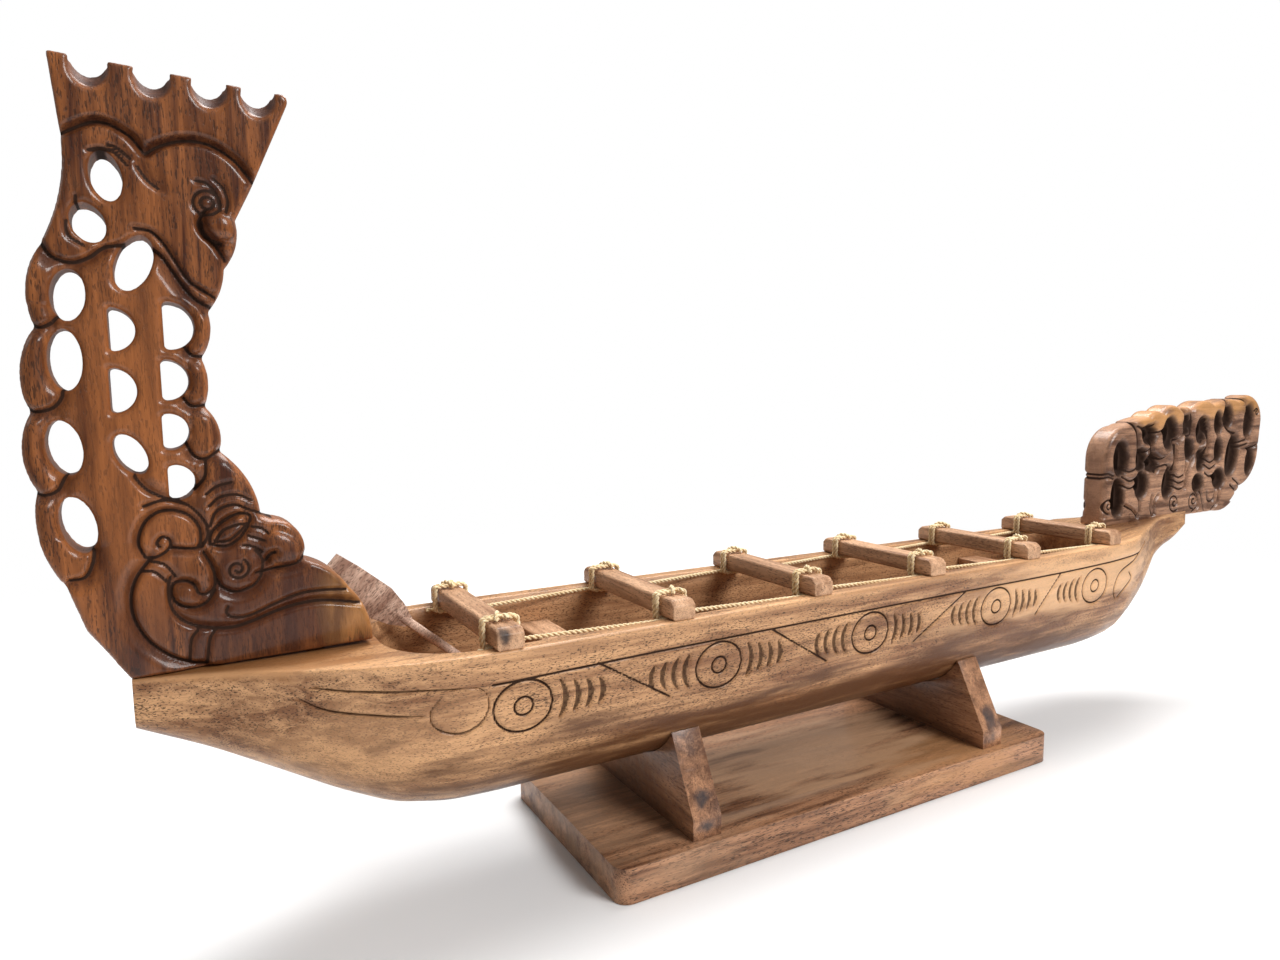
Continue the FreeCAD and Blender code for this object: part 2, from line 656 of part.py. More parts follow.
def least_gap(path, radius):
    """Smallest clear distance between parts of a cord that are not next to each other along it."""
    points = path.discretize(Distance=1.0)
    skip = int(5 * radius) + 2
    least = 1e9
    for i in range(0, len(points)):
        for j in range(i + skip, min(i + 160, len(points))):
            least = min(least, (points[i] - points[j]).Length)
    return least - 2 * radius


def lashing(name, side):
    """One unbroken cord of square section, as large in section as the round cord."""
    path = bent_path(lashing_route(side))
    radius = dim("cord_diameter") / 2
    half = radius * math.sqrt(math.pi) / 2
    start = path.Edges[0].valueAt(path.Edges[0].FirstParameter)
    ring = [start + Vector(0, y * half, z * half) for y, z in ((-1, -1), (1, -1), (1, 1), (-1, 1))]
    cord = path.makePipeShell([Part.makePolygon(ring + ring[:1])], True, False)
    expected = math.pi * radius ** 2 * path.Length
    print("%s: length %.0f mm, least gap to itself %.2f mm, volume over section times length %.4f"
          % (name, path.Length, least_gap(path, radius), cord.Volume / expected))
    return cord


# Paddle

def blade_stations():
    """Along the paddle from its lower end: place, half width and thickness at the ridge."""
    length = dim("paddle_length")
    blade = dim("blade_length")
    half = dim("blade_width") / 2
    ridge = dim("blade_thickness")
    neck = length - blade
    shaft = dim("shaft_diameter") / 2
    return ((neck, 1.2 * shaft, 1.2 * shaft), (neck + 0.16 * blade, 0.72 * half, ridge),
            (neck + 0.36 * blade, half, ridge), (neck + 0.75 * blade, 0.96 * half, 0.9 * ridge),
            (length, 0.84 * half, 0.7 * ridge))


def paddle_shape():
    """A round shaft running into a ridged blade, drawn along +X from its lower end."""
    rim = dim("blade_edge") / 2
    stations = blade_stations()
    shaft = Part.makeCylinder(dim("shaft_diameter") / 2, stations[1][0], Vector(0, 0, 0), Vector(1, 0, 0))
    wires = []
    for x, half, thick in stations:
        ring = [Vector(x, -rim, half), Vector(x, rim, half), Vector(x, thick / 2, 0),
                Vector(x, rim, -half), Vector(x, -rim, -half), Vector(x, -thick / 2, 0)]
        wires.append(Part.makePolygon(ring + ring[:1]))
    return shaft.fuse(Part.makeLoft(wires, True, True)).removeSplitter()


def paddle_seat():
    """Lower end of the paddle: its blade leans on the opening's stern edge, its shaft stands in the bilge."""
    slope = math.radians(dim("paddle_slope"))
    along = Vector(-math.cos(slope), 0, math.sin(slope))
    up = Vector(math.sin(slope), 0, math.cos(slope))
    corner = dim("opening_stern_corner")
    stern = opening_ends()[0]
    side = hull_at(stern + corner)[0] - dim("gunwale_width") - corner
    reach = dim("paddle_y") + dim("blade_thickness") / 2 - side
    edge = Vector(stern + corner - math.sqrt(corner ** 2 - reach ** 2), dim("paddle_y"), 0)
    room = inside_form(dim("shaft_diameter") / 2 + dim("paddle_gap"))
    lean = dim("blade_width") / 2
    for _ in range(6):
        axis = edge + up * (lean + dim("paddle_gap"))
        line = Part.makeLine(axis, axis - along * 2 * dim("paddle_length"))
        end = max(line.common(room).Vertexes, key=lambda vertex: (vertex.Point - axis).Length).Point
        reach = (edge - end).dot(along)
        for one, two in zip(blade_stations(), blade_stations()[1:]):
            if one[0] <= reach <= two[0]:
                lean = one[1] + (two[1] - one[1]) * (reach - one[0]) / (two[0] - one[0])
    return end


# Assembly of the stand

bases = {"cradle_stern": "cradle_stern_x", "cradle_bow": "cradle_bow_x"}
bores = [nail_bore("NailBore_%s_%d" % (label, side > 0), alias, side)
         for label, alias in bases.items() for side in (-1, 1)]
all_bores = group("NailBores", bores)
keep(cut("BaseBoardBored", base_board(), all_bores), "base_board")

form = hull_form()
saddle = solid_feature("SaddleForm", form, DECK_Z + " - Dims.saddle_clearance")
for label, alias in bases.items():
    hollowed = cut(label + "_saddled", cradle_block(label + "_block", alias), saddle)
    keep(cut(label, hollowed, all_bores), label)
nails = [nail("Nail_%s_%d" % (label, side > 0), alias, side) for label, alias in bases.items() for side in (-1, 1)]
keep(group("Nails", nails), "cradle_nails")

# Assembly of the hull

post_x = ["Dims.stern_tip_x + Dims.sternpost_peg_aft", "Dims.stern_tip_x + Dims.sternpost_peg_fore"]
head_foot = "Dims.bow_tip_x - Dims.bow_deck + Dims.figurehead_offset"
head_x = [head_foot + " + Dims.figurehead_peg_aft", head_foot + " + Dims.figurehead_peg_fore"]
bow_z = DECK_Z + " + Dims.sheer_rise"

shell = solid_feature("HullShell", form.cut(inside_form(0).common(opening_plan())), DECK_Z)
pin_bores = group("PinBores", pins("PinBore", "Dims.pin_clearance"))
bored = cut("HullStern", shell, peg_bores("SternBores", post_x, DECK_Z))
bored = cut("HullBow", bored, peg_bores("BowBores", head_x, bow_z))
keep(cut("Hull", bored, pin_bores), "hull")

for number in range(1, THWARTS + 1):
    keep(cut("Thwart_%d" % number, thwart(number), pin_bores), "thwart_%d" % number)
keep(group("Pins", pins("Pin", "0")), "thwart_pins")
keep(solid_feature("SeatStern", seat(thwart_x(1) + dim("seat_stern_reach")), DECK_Z), "seat_stern")
keep(solid_feature("SeatBow", seat(thwart_x(THWARTS) - dim("seat_bow_reach")), DECK_Z), "seat_bow")
keep(solid_feature("CordPort", lashing("lashing_cord_port", 1), DECK_Z), "lashing_cord_port")
keep(solid_feature("CordStarboard", lashing("lashing_cord_starboard", -1), DECK_Z), "lashing_cord_starboard")

# Assembly of the carvings on their pegs

post_z = DECK_Z + " + Dims.post_seat_gap"
post_factor = dim("sternpost_height") / STERNPOST_DRAWN
post_holes = [oval(*row) for row in STERNPOST_OVALS] + [dee(*row) for row in STERNPOST_DEES]
post = carved_board("SternpostBoard", scaled(outline(*sternpost_outline()), post_factor),
                    [scaled(edges, post_factor) for edges in post_holes], "Dims.sternpost_thickness")
place(post, x="Dims.stern_tip_x", z=post_z)
crowned = cut("SternpostCrowned", post, crown_gouges("Dims.stern_tip_x", post_z, post_factor))
post_bores = group("SternpostBores", peg_set("PostBore", post_x, post_z, "Dims.peg_glue", "Dims.peg_glue"))
keep(cut("Sternpost", crowned, post_bores), "sternpost")
keep(group("SternpostPegs", peg_set("PostPeg", post_x, post_z)), "sternpost_pegs")

head_z = bow_z + " + Dims.post_seat_gap"
head_factor = dim("figurehead_length") / FIGUREHEAD_DRAWN
head_holes = [oval(*row) for row in FIGUREHEAD_OVALS] + [slot(*row) for row in FIGUREHEAD_SLOTS]
head = carved_board("FigureheadBoard", scaled(outline(*FIGUREHEAD_OUTLINE), head_factor),
                    [scaled(edges, head_factor) for edges in head_holes], "Dims.figurehead_thickness")
place(head, x=head_foot, z=head_z)
head_bores = group("FigureheadBores", peg_set("HeadBore", head_x, head_z, "Dims.peg_glue", "Dims.peg_glue"))
keep(cut("Figurehead", head, head_bores), "figurehead")
keep(group("FigureheadPegs", peg_set("HeadPeg", head_x, head_z)), "figurehead_pegs")

# The loose paddle: its blade's shoulder on the deck edge, its lower end in the bilge

paddle = doc.addObject("Part::Feature", "Paddle")
paddle.Shape = paddle_shape()
seat_point = paddle_seat()
paddle.Placement = Placement(Vector(0, 0, 0), Rotation(Vector(0, 1, 0), 180 + dim("paddle_slope")))
place(paddle, x="%.4f" % seat_point.x, y="Dims.paddle_y", z="%s + (%.4f)" % (DECK_Z, seat_point.z))
keep(paddle, "paddle")

doc.recompute()

for obj in doc.Objects:
    if "Invalid" in obj.State or "Error" in obj.State:
        raise RuntimeError("%s did not build: %s" % (obj.Label, obj.State))
for piece in pieces:
    if piece.Shape.isNull() or not piece.Shape.isValid():
        raise RuntimeError("%s has no valid shape" % piece.Label)

os.makedirs("parts", exist_ok=True)
for piece in pieces:
    piece.Shape.exportStep("parts/%s.step" % piece.Label)
    print("%s: %d solid(s), %.0f mm3" % (piece.Label, len(piece.Shape.Solids), piece.Shape.Volume))
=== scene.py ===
import math

import bmesh
import bpy
import numpy as np
from mathutils import Matrix, Vector, kdtree


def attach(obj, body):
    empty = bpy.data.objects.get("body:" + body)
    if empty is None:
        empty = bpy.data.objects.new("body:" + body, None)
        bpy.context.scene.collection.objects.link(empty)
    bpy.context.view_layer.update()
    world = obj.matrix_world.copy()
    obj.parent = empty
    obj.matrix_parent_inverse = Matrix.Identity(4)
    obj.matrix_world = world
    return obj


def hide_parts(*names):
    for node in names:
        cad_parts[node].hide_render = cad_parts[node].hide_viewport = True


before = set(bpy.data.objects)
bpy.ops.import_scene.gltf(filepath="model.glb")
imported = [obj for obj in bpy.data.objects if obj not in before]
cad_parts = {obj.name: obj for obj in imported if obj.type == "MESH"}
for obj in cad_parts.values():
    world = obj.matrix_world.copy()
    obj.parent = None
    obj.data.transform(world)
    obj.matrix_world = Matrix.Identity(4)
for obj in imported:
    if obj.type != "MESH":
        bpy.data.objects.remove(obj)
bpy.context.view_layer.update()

bl_info = {
    "name": "Carved model canoe",
    "version": (1, 0, 0),
    "blender": (4, 5, 0),
    "location": "3D View > Sidebar > Canoe",
    "description": "A carved ceremonial model canoe on its display stand",
    "category": "Object",
}

# Lengths are in millimetres where nothing else is said. +X runs to the bow, +Y to port, +Z up.
MM = 0.001
DECK = 130.0
STERN_TIP = -352.0
BOW_TIP = 412.0
SIDES = (-1, 1)
THWART_X = tuple(-205 + 92.5 * n for n in range(6))

# Half beam at the first and last thwart and at the tips, and how much it loses from thwart to thwart.
STERN_BEAM = 54.0
BOW_BEAM = 46.5
TIP_BEAM = 10.5
BEAM_STEP = 1.5
# Half beam beside the opening from stern to bow: places and sizes.
BESIDE = ((-227, THWART_X[0], THWART_X[-1], 287), (53, STERN_BEAM, BOW_BEAM, 43.5))
# The keel's height from the deck, and how far it rises to each tip.
KEEL = -84.0
STERN_RISE = 61.0
BOW_RISE = 67.0
# Hull stations: run from the tip, spread of the beam, rise of the keel, squareness.
STERN_STATIONS = ((0, 0, 1, 0.8), (27, 0.16, 0.78, 0.5), (52, 0.43, 0.54, 0.25),
                  (77, 0.69, 0.295, 0.1), (100, 0.885, 0.105, 0), (125, 0.977, 0.015, 0))
BOW_STATIONS = ((125, 0.917, 0.05, 0), (104, 0.75, 0.165, 0), (87, 0.556, 0.29, 0.1),
                (67, 0.32, 0.475, 0.25), (50, 0.14, 0.68, 0.5), (30, 0.03, 0.815, 0.8),
                (12, 0.01, 0.88, 1), (0, 0, 1, 1))
# Reach of the lengthwise fairing, and the deck's rise towards the bow: places and heights.
FAIRING = 13
SHEER = ((282, 306, BOW_TIP), (0, 4, 8))
# The chine as a share of the half beam and of the keel's depth, and its drop where the hull is square.
CHINE = (0.925, 0.48)
CHINE_DROP = 0.17
# Shares of the bilge and of the side at which the hull has a row of points.
BILGE_ROWS = (0, 0.14, 0.28, 0.42, 0.56, 0.7, 0.8, 0.87, 0.915, 0.945, 0.97, 0.987)
SIDE_ROWS = np.concatenate((np.linspace(1, 0.27, 44), np.linspace(0.21, 0.05, 3)))
# The deck opening: its ends, its corners' radius there, the wood beside and below it, and the rounded lip.
OPENING = (-253.0, 282.0)
OPENING_CORNERS = (36.0, 14.0)
GUNWALE = 9.5
FLOOR = 13.0
LIP = 1.4

# The carved frieze along the hull: rings, half sizes of ring and eye, and the heights that it keeps to.
RING_X = (-199, -90, 18, 130, 237)
RING_Z = 102.4
RING = (14.4, 12.4)
EYE = (4.6, 4.4)
FRIEZE_TOP = 116.2
FRIEZE_LOW = 91.0
FRIEZE_FOOT = 84.0
TOP_LINE = ((-214, 115), (-120, FRIEZE_TOP), (60, FRIEZE_TOP + 0.6), (200, FRIEZE_TOP + 0.6), (300, 119))
# Crescents beside each ring: distance from its middle and half height of each, then their bend.
CRESCENTS = ((21.3, 9.4), (27.9, 8.5), (34.5, 7.6), (41.1, 6.7))
CRESCENT_BEND = 0.34
# Cuts of the frieze: width to the left and to the right, depth, and the swell of a line that tapers.
LINE_CUT = (1.0, 1.0, 1.1)
LEAF_CUT = (1.0, 1.0, 1.1, 0.85)
TOP_CUT = (1.1, 1.3, 1.0)
RING_CUT = (1.1, 1.1, 1.3)
EYE_CUT = (1.0, 1.0, 1.2)
CRESCENT_CUT = (1.3, 1.3, 1.5, 2.7)
# Half width of its dark lines, and the most that a tapering line darkens.
FRIEZE_DARK = 0.56
FAINT = 1.02
# Where the hull's sections follow the frieze: the whole run, the reach round each ring, and the leaves.
FRIEZE_RUN = (-304, 330)
RING_REACH = 44
LEAF_RUNS = ((-305, -212), (258, 315))
STERN_COLUMNS = 20
BOW_COLUMNS = 34
# Loose lines of the frieze as (x, z) points: the leaf at the stern, which tapers, then the others.
STERN_LEAF = (
    ((-297, 124), (-271, 119.5), (-242, 117), (-220, 115)),
    ((-294, 119), (-282, 112), (-263, 108), (-244, 105.5)),
    ((-236, 113.5), (-241, 107), (-240, 100.5), (-234, 96), (-226, 95), (-219, 98.5), (-215.5, 105),
     (-216.5, 111.5), (-220, 115)),
)
HULL_LINES = (
    ((-161, FRIEZE_TOP), (-120, FRIEZE_LOW)),
    ((-56, FRIEZE_TOP), (-15, FRIEZE_LOW)),
    ((55, FRIEZE_LOW), (98, FRIEZE_TOP)),
    ((172, FRIEZE_LOW), (195, FRIEZE_TOP)),
    ((311, 125), (290, 115.5), (268, 108), (262, 96), (265, 89)),
    ((282, 106.7), (286.5, 101.4), (278, 95.3), (268, 89.5)),
)

# Carved cuts by kind: width to the left and to the right, depth, then the lines as listed points.
STERN_CUTS = (
    (2.6, 2.2, 3.2, ((-9.8, 213.5), (2.3, 219.5), (12, 216.2), (17.8, 209.3))),
    (2.8, 2.2, 3.2, ((17.8, 209.3), (23.5, 213.2), (31.5, 216), (40.3, 215.7), (49, 211), (56.3, 202.4))),
    (1.4, 1.4, 1.1,
     ((-1, 208.2), (3.1, 209.3), (7.9, 208.4), (11.5, 203.8)),
     ((5.4, 211.2), (9.1, 209.8), (12.7, 206.5)),
     ((31.2, 73.6), (35.4, 76.8), (41.2, 78.2))),
    (1.4, 1.4, 1.2,
     ((-6.2, 190.8), (-6.1, 187.8), (-2.2, 187.2)),
     ((50.5, 36.8), (51.2, 44), (48.5, 48.6))),
    (1.4, 1.6, 1.2, ((-9.8, 181.5), (-9.4, 175.8), (-4.8, 172.4))),
    (4.5, 1.6, 1.3, ((14.8, 204.2), (17.9, 199.2), (21.7, 196.1))),
    (1.4, 1.2, 1.2, ((34.8, 200.7), (38.9, 199.8), (42.3, 195.6), (43.2, 189))),
    (1.6, 1.2, 1.4, ((41.5, 202), (44.9, 198.4), (46.2, 193.3), (45.3, 188.6))),
    (2.2, 1.6, 2.6, ((36.1, 184.5), (36.6, 180.6), (40.6, 175.6), (43.9, 169.8))),
    (1.4, 1.4, 2.2, ((37.2, 188.2), (35, 183.6), (37.4, 178.6), (43, 176))),
    (1.7, 1.4, 2.2,
     ((12.2, 180.3), (17.8, 179.5), (22.1, 175), (26.3, 167.4), (30.6, 160.4), (39.3, 154.5))),
    (1.4, 5, 2.8,
     ((16.3, 174.5), (20.7, 171), (24.9, 164.1), (29.2, 157.1), (33.7, 152.6), (39.1, 150.1))),
    (1.6, 5.5, 2.6,
     ((-18.4, 172.6), (-15.7, 168), (-9.5, 165.9), (-3.5, 168.1), (1.7, 172.2), (7.3, 173.6),
      (12, 176.6))),
    (1.5, 4.5, 2.4,
     ((-24.6, 142.8), (-20.7, 141.2), (-16.9, 143.2), (-15.7, 145.6)),
     ((-29, 112.8), (-25, 109.4), (-19.2, 110.5), (-16, 114.3), (-15.4, 118.1)),
     ((-29.8, 81.4), (-25.2, 77.3), (-19.9, 78.5), (-16.8, 84.2)),
     ((-18.2, 43), (-13.2, 43.6), (-10.4, 48.4), (-9.2, 54.5)),
     ((26.4, 135.4), (29.6, 131.1), (34.6, 130.8)),
     ((25.4, 113.8), (28.2, 110.5), (33.6, 110.8)),
     ((25.2, 95.6), (27.6, 90.4), (31.8, 88.5), (38, 92.2))),
    (4.5, 1.6, 2.2, ((5.9, 82.8), (10.1, 77.1), (16.9, 72.9), (23.9, 70))),
    (1.6, 3.2, 1.8, ((32, 88.1), (31.3, 81.2), (27.3, 75.9))),
    (3, 1.5, 2.4,
     ((7.8, 49.4), (5.8, 55.8), (8.1, 63.1), (13, 67.4), (19, 67.9), (24.9, 65), (28.2, 59.2),
      (27.8, 52.9), (25.3, 51.4), (17.4, 52.6))),
    (1.3, 1.5, 1.7, ((17.4, 52.6), (16.8, 56.1), (14.2, 57.4), (12.2, 54.8), (13.2, 53.4))),
    (1.4, 2, 2, ((7.8, 49.4), (11.9, 49.3), (15.6, 51.4), (17.2, 53.3))),
    (1.6, 1.6, 1.6, ((8.5, 70.4), (15.7, 72.3), (23.9, 70), (29.7, 63.2), (31.1, 56.8), (28.4, 51.6))),
    (2.6, 1.5, 2.6, ((28.8, 49.6), (32.1, 41.8), (32.4, 34.7), (29, 31.5), (26, 32.6))),
    (1.6, 2.2, 2.4,
     ((26, 32.6), (24.4, 36.4), (20.8, 38.2), (17.1, 37.3), (16.2, 33.2), (18.4, 28.7), (23.8, 26.5),
      (28.8, 28), (32.4, 33))),
    (1.5, 4.5, 2.6,
     ((9.5, 48.6), (4, 41), (1.8, 33), (2.6, 24), (6.8, 15), (14.1, 7.5), (21.8, 3.3), (27.3, 2))),
    (3.4, 1.5, 2.2,
     ((16.1, 40.2), (15.1, 34), (16.4, 26.2), (20.9, 20.6), (28.2, 17.3), (37.6, 15.9), (46.2, 17.6),
      (55.6, 20.6), (65.3, 22.6), (75.8, 22.7), (91, 19.6))),
    (1.4, 1.2, 1.1,
     ((36.9, 25.4), (36.1, 22.7), (38.5, 20.5), (45, 20.3), (54.5, 23.8), (64.1, 26.9), (72.5, 27.7),
      (85, 26.9))),
    (1.3, 1.3, 1,
     ((25.1, 17.1), (22.3, 13.2), (21.2, 4.1)),
     ((31.2, 15.8), (29.1, 12.1), (27.6, 2)),
     ((10, 47.8), (14.6, 45.9), (18.2, 40.6)),
     ((6.3, 44.1), (10.9, 43.2), (15.6, 37.8))),
    (2, 1.5, 2.2,
     ((31.5, 52.5), (32.4, 57.4), (37.1, 61.9), (42.9, 64.6), (47.4, 63.5), (46.5, 59.6), (43, 54.2),
      (37.7, 51.2), (31.5, 52.5))),
    (1.3, 1.3, 1.1,
     ((33.5, 53.7), (36.9, 58.4), (42.7, 60.3), (45.9, 60)),
     ((33.5, 53.7), (38.5, 53.6), (42.5, 56.6), (45.9, 60)),
     ((47.8, 58.8), (51.6, 57.7), (54.2, 55.3)),
     ((46.3, 55), (52.7, 52.2)),
     ((44.1, 51.2), (48, 50.1), (51.4, 47.6))),
    (1.4, 1.4, 1.3, ((32.1, 68.6), (36.4, 72.2), (42.8, 72.8), (48.5, 70))),
    (1.5, 1.5, 1.6, ((32, 60.2), (34.8, 66.3), (41.3, 68.6), (47.5, 66), (56, 62))),
    (1.5, 3.6, 2.4, ((33.1, 37.4), (35.4, 33.6), (40.4, 31.1), (47, 32.8), (50.5, 36.8))),
    (1.5, 3.6, 2.6, ((48.5, 38.4), (56.7, 39.7), (65.5, 40.9), (69, 45))),
    (2.2, 2.2, 3, ((56.5, 46.8), (54.5, 46), (52.6, 43.2))),
)
# Spirals: centre, inner and outer radius, turns, start angle.
STERN_SPIRALS = ((41.3, 41.1, 0.8, 4.8, 1.6, 200), (38.5, 191.9, 5, 5, 1, 0), (38.5, 191.9, 2.4, 2.4, 1, 0))
# Rounded knobs: centre, half widths, tilt, height.
STERN_KNOBS = ((42.8, 183.1, 7.6, 6.4, -35, 5.2), (38.5, 191.9, 4.2, 4.2, 0, 1.0),
               (23.6, 32.4, 5.2, 4.2, 0, 1.6), (59, 48, 9, 6.5, -40, 2.4), (40, 58.2, 6.5, 3.8, 35, 1.8),
               (28, 41, 4, 7, 15, 1.2), (42, 40, 8, 7.5, 0, 1.0))

# Oval piercings: middle, half width, half height, tilt. Then the middles of the crown's scoops.
STERN_OVALS = ((4, 199.5, 5, 9.5, 8), (-3, 181.3, 5.3, 7.7, 20), (11.3, 167, 5.7, 11.5, -22),
               (-11.4, 153.8, 5.3, 10, -6), (-14, 129, 5.3, 11.8, 0), (-16.5, 95, 5.5, 10.8, 8),
               (5.5, 91.5, 4.6, 8.8, 27), (-14, 64.6, 5.5, 11.4, 12))
CROWN = ((1, 242.3), (22, 241.2), (42, 240.2), (60, 239.3))
CROWN_REACH = 10
# How much wider than its slot an oval is at its middle, and how far from it the wood is drawn along.
OVAL_SWELL = 1.08
OVAL_REACH = 4
# Ground cut back round the figurehead's piercings: reach beyond them, depth, and the ovals as above.
HOLLOW_RIM = 3.0
HOLLOW_DEPTH = 7.0
HEAD_HOLLOWS = ((58, 70, 5.5, 4, 0), (49, 50, 3.8, 5.5, 0), (64.5, 46.5, 5, 3.6, 0), (50, 30, 5, 7, -10),
                (87, 70, 6, 9, -10), (88, 29.5, 4.6, 9, -15), (113, 76, 3.6, 4.6, 0),
                (135, 71, 5.6, 7.4, -15), (116, 56, 2.6, 5, 10), (159.5, 76.5, 2.6, 5, 0),
                (174, 81, 3.4, 5.4, -10), (136, 45.5, 2.8, 5.4, -20), (132, 26, 4.2, 3.8, 0),
                (161.5, 53, 2.4, 5.2, 0), (165, 28, 6, 4.4, 0), (184, 47, 6, 14, -12),
                (208.5, 77, 3.8, 9.4, -10), (214.5, 41, 3.2, 8, -12), (21, 51.75, 5.6, 9.75, 0),
                (18.5, 21.5, 4.6, 11, 0))

HEAD_CUTS = (
    (1.5, 3.2, 2.4, ((35.6, 80), (42.9, 70.1), (45.2, 44.1))),
    (1.3, 1.3, 1.2,
     ((-1, 40), (4.9, 41.2), (12.3, 39)),
     ((-1, 37), (5.1, 38.5), (12.5, 36.6))),
    (1.5, 1.5, 1.4,
     ((25.1, 43.2), (33.6, 41.2), (41.9, 42.7)),
     ((24.8, 37.3), (34.2, 33.7), (42.6, 35.2)),
     ((24.5, 30.9), (33.9, 27.7), (42.2, 29.2)),
     ((96.4, 35), (103.1, 32.5), (110.4, 34.1)),
     ((95.9, 30.8), (103.6, 27.7), (110.9, 28.8)),
     ((95.5, 25.6), (104.1, 22.4), (111.5, 23.5)),
     ((141.6, 46.2), (149.8, 42.6), (159.4, 45.8)),
     ((142.2, 40.8), (150.4, 37.1), (158, 40)),
     ((141.9, 34.4), (150.1, 30.7), (159, 31.2)),
     ((188, 26.7), (197, 21.7), (202, 15.2)),
     ((183.5, 21.5), (192.4, 15.9), (195.4, 8.4)),
     ((190.6, 57), (198.8, 58.8), (208.1, 60.1)),
     ((191, 53.6), (200.3, 54.9), (208.6, 56.2)),
     ((206, 52), (217, 52), (225, 55))),
    (1.8, 1.8, 1.6, ((29.2, 14.1), (37.9, 10.4), (45.2, 4.7))),
    (1.5, 2.6, 1.8, ((42.3, 77.1), (52.9, 74.2), (60.7, 74), (66, 78))),
    (1.6, 2.6, 1.8, ((44, 58.1), (54.5, 55.6), (61.2, 58.3))),
    (2.4, 1.5, 2.2, ((63.1, 78), (62.3, 65.4), (62.5, 53.2), (55.8, 40.4))),
    (1.5, 2.2, 1.6, ((65.2, 70.8), (75.7, 72.4), (82, 80))),
    (1.5, 3.2, 2.6, ((63.1, 65.3), (64.9, 55.1), (77.9, 48.9), (91.8, 53.9), (96.3, 64))),
    (1.5, 1.5, 1.6, ((68.2, 38.7), (73.2, 42.5), (85.6, 43.9), (88, 39))),
    (2.8, 1.5, 2.4, ((106, 88), (108.2, 73.9), (103.5, 65.8), (96.4, 63.5))),
    (1.5, 2.6, 2, ((96.7, 59.9), (96, 39.2))),
    (2.8, 1.5, 2.2, ((110.2, 63.5), (112.4, 50.8), (111.1, 36.2))),
    (1.6, 1.6, 1.6,
     ((47.4, 20), (48.2, 9.6), (45.3, 3.7)),
     ((64.8, 20), (63.8, 10.4), (67.1, 2.9)),
     ((73.6, 20), (68.7, 14.1), (69.6, 4.7)),
     ((131.1, 20), (134.2, 7), (125.1, 1.2)),
     ((166.3, 22), (163.8, 6.9), (154.5, 0.5))),
    (2.6, 1.5, 2.4, ((139.9, 61.2), (127.5, 51.1), (117.3, 40), (111.5, 23.5))),
    (1.5, 2.6, 2.2, ((142, 80), (145.7, 62), (141.6, 46.2))),
    (2.6, 1.5, 2.2,
     ((158.1, 84), (159.6, 61.5), (159.3, 46.4)),
     ((204.1, 88), (204.1, 75.2), (209.2, 59.5))),
    (1.6, 1.6, 1.4,
     ((137, 18), (140.8, 8.6), (144.6, 0.7)),
     ((162.1, 23), (156.4, 9.6), (149.4, 10.1), (146.7, 16.8))),
    (2.2, 1.5, 1.8, ((192, 97.4), (200.8, 94), (203.8, 86.3))),
    (2.4, 1.5, 1.8, ((116, 88), (120.5, 80), (119, 68), (112, 66))),
    (1.5, 2.4, 1.8, ((172, 96), (170, 84), (176, 70), (190, 66))),
)
HEAD_SPIRALS = ((6.9, 15.8, 0.8, 6.5, 1.5, 90), (97.5, 11.9, 0.8, 8, 1.6, 90),
                (126, 11.8, 0.8, 7.5, 1.6, 60), (221.5, 84, 0.8, 3.6, 1.2, 90))
HEAD_KNOBS = ((37, 6, 5, 5, 0, 1.2), (97.5, 11.9, 3, 3, 0, 0.8), (126, 11.8, 3, 3, 0, 0.8))
# Lobes of paler wood along the figurehead's top: place and half width.
HEAD_TOPS = ((62, 84, 18), (98, 88, 22), (146, 91, 26), (186, 92, 18), (216, 95, 16))

# Each carved board: origin of its drawing, half thickness, and half width of its dark lines.
STERN_BOARD = ((STERN_TIP, 130.2), 10.0, 0.6)
HEAD_BOARD = ((299.0, 134.2), 9.75, 0.75)
# How much wider and deeper than drawn the cuts are, then the width, width and depth of the spirals.
STERN_BOLD = (1.25, 1.4)
STERN_CURL = (1.4, 1.4, 1.4)
HEAD_BOLD = (1.7, 1.9)
HEAD_CURL = (1.8, 1.8, 2.2)
# Rounding of the boards' arrises: at crown and foot, elsewhere, on the upper face, lobes and figurehead.
CRISP = 1.2
PLAIN = 2.4
FACE = 4.0
LOBE = 4.5
HEAD_ROUND = 4.6
# Wood always left in a cut, width of a worn arris that is lightened as wear and painted highlight, and
# depth and reach of the painted shade that gathers round the cuts and hollows.
LEAST_WOOD = 2.0
WORN_ARRIS = 1.6
PAINTED_SHADE_DEPTH = 2.6
PAINTED_SHADE_REACH = 3.5

# Middles of the two cradles along the base board.
CRADLE_X = (-106, 110)

# The lashings: place of the first lane at each thwart, step between lanes, and heights above the deck.
LASHING_INNER = (42.45, 41.30, 39.80, 38.30, 36.80, 34.27)
LANE_STEP = 2.9
LASHING_RUN = -1.5
LASHING_UNDER = -1.6
# How far from a thwart a lashing's end and its long runs begin, and one turn as run and height.
END_REACH = 12.1
RUN_REACH = 14.1
LASHING_TURN = ((7.4, -1.7), (8.5, -0.4), (8.4, 5), (8.5, 10.6), (7.2, 11.9), (0, 11.8), (-7.2, 11.9),
                (-8.5, 10.6), (-8.4, 5), (-8.5, -0.4), (-7.4, -1.7))
# Each lashing's hitch and loose tail, and how far they sit from the thwart's middle.
HITCH = ((-1.8, 2.6, 11.4), (-1.2, 2.5, 12.6), (-0.4, 1.0, 13.4), (0.4, -1.4, 13.6), (1.2, -3.8, 13.4),
         (1.8, -5.4, 12.6), (2.2, -5.6, 11.4))
TAIL = ((2.0, 1.0, 13.2), (3.6, 2.6, 12.6), (4.6, 4.2, 11.8), (5.4, 5.0, 11.7))
HITCH_SHIFT = (-1.5, 1.2, 0.2, -0.8, 1.6, 0.0)

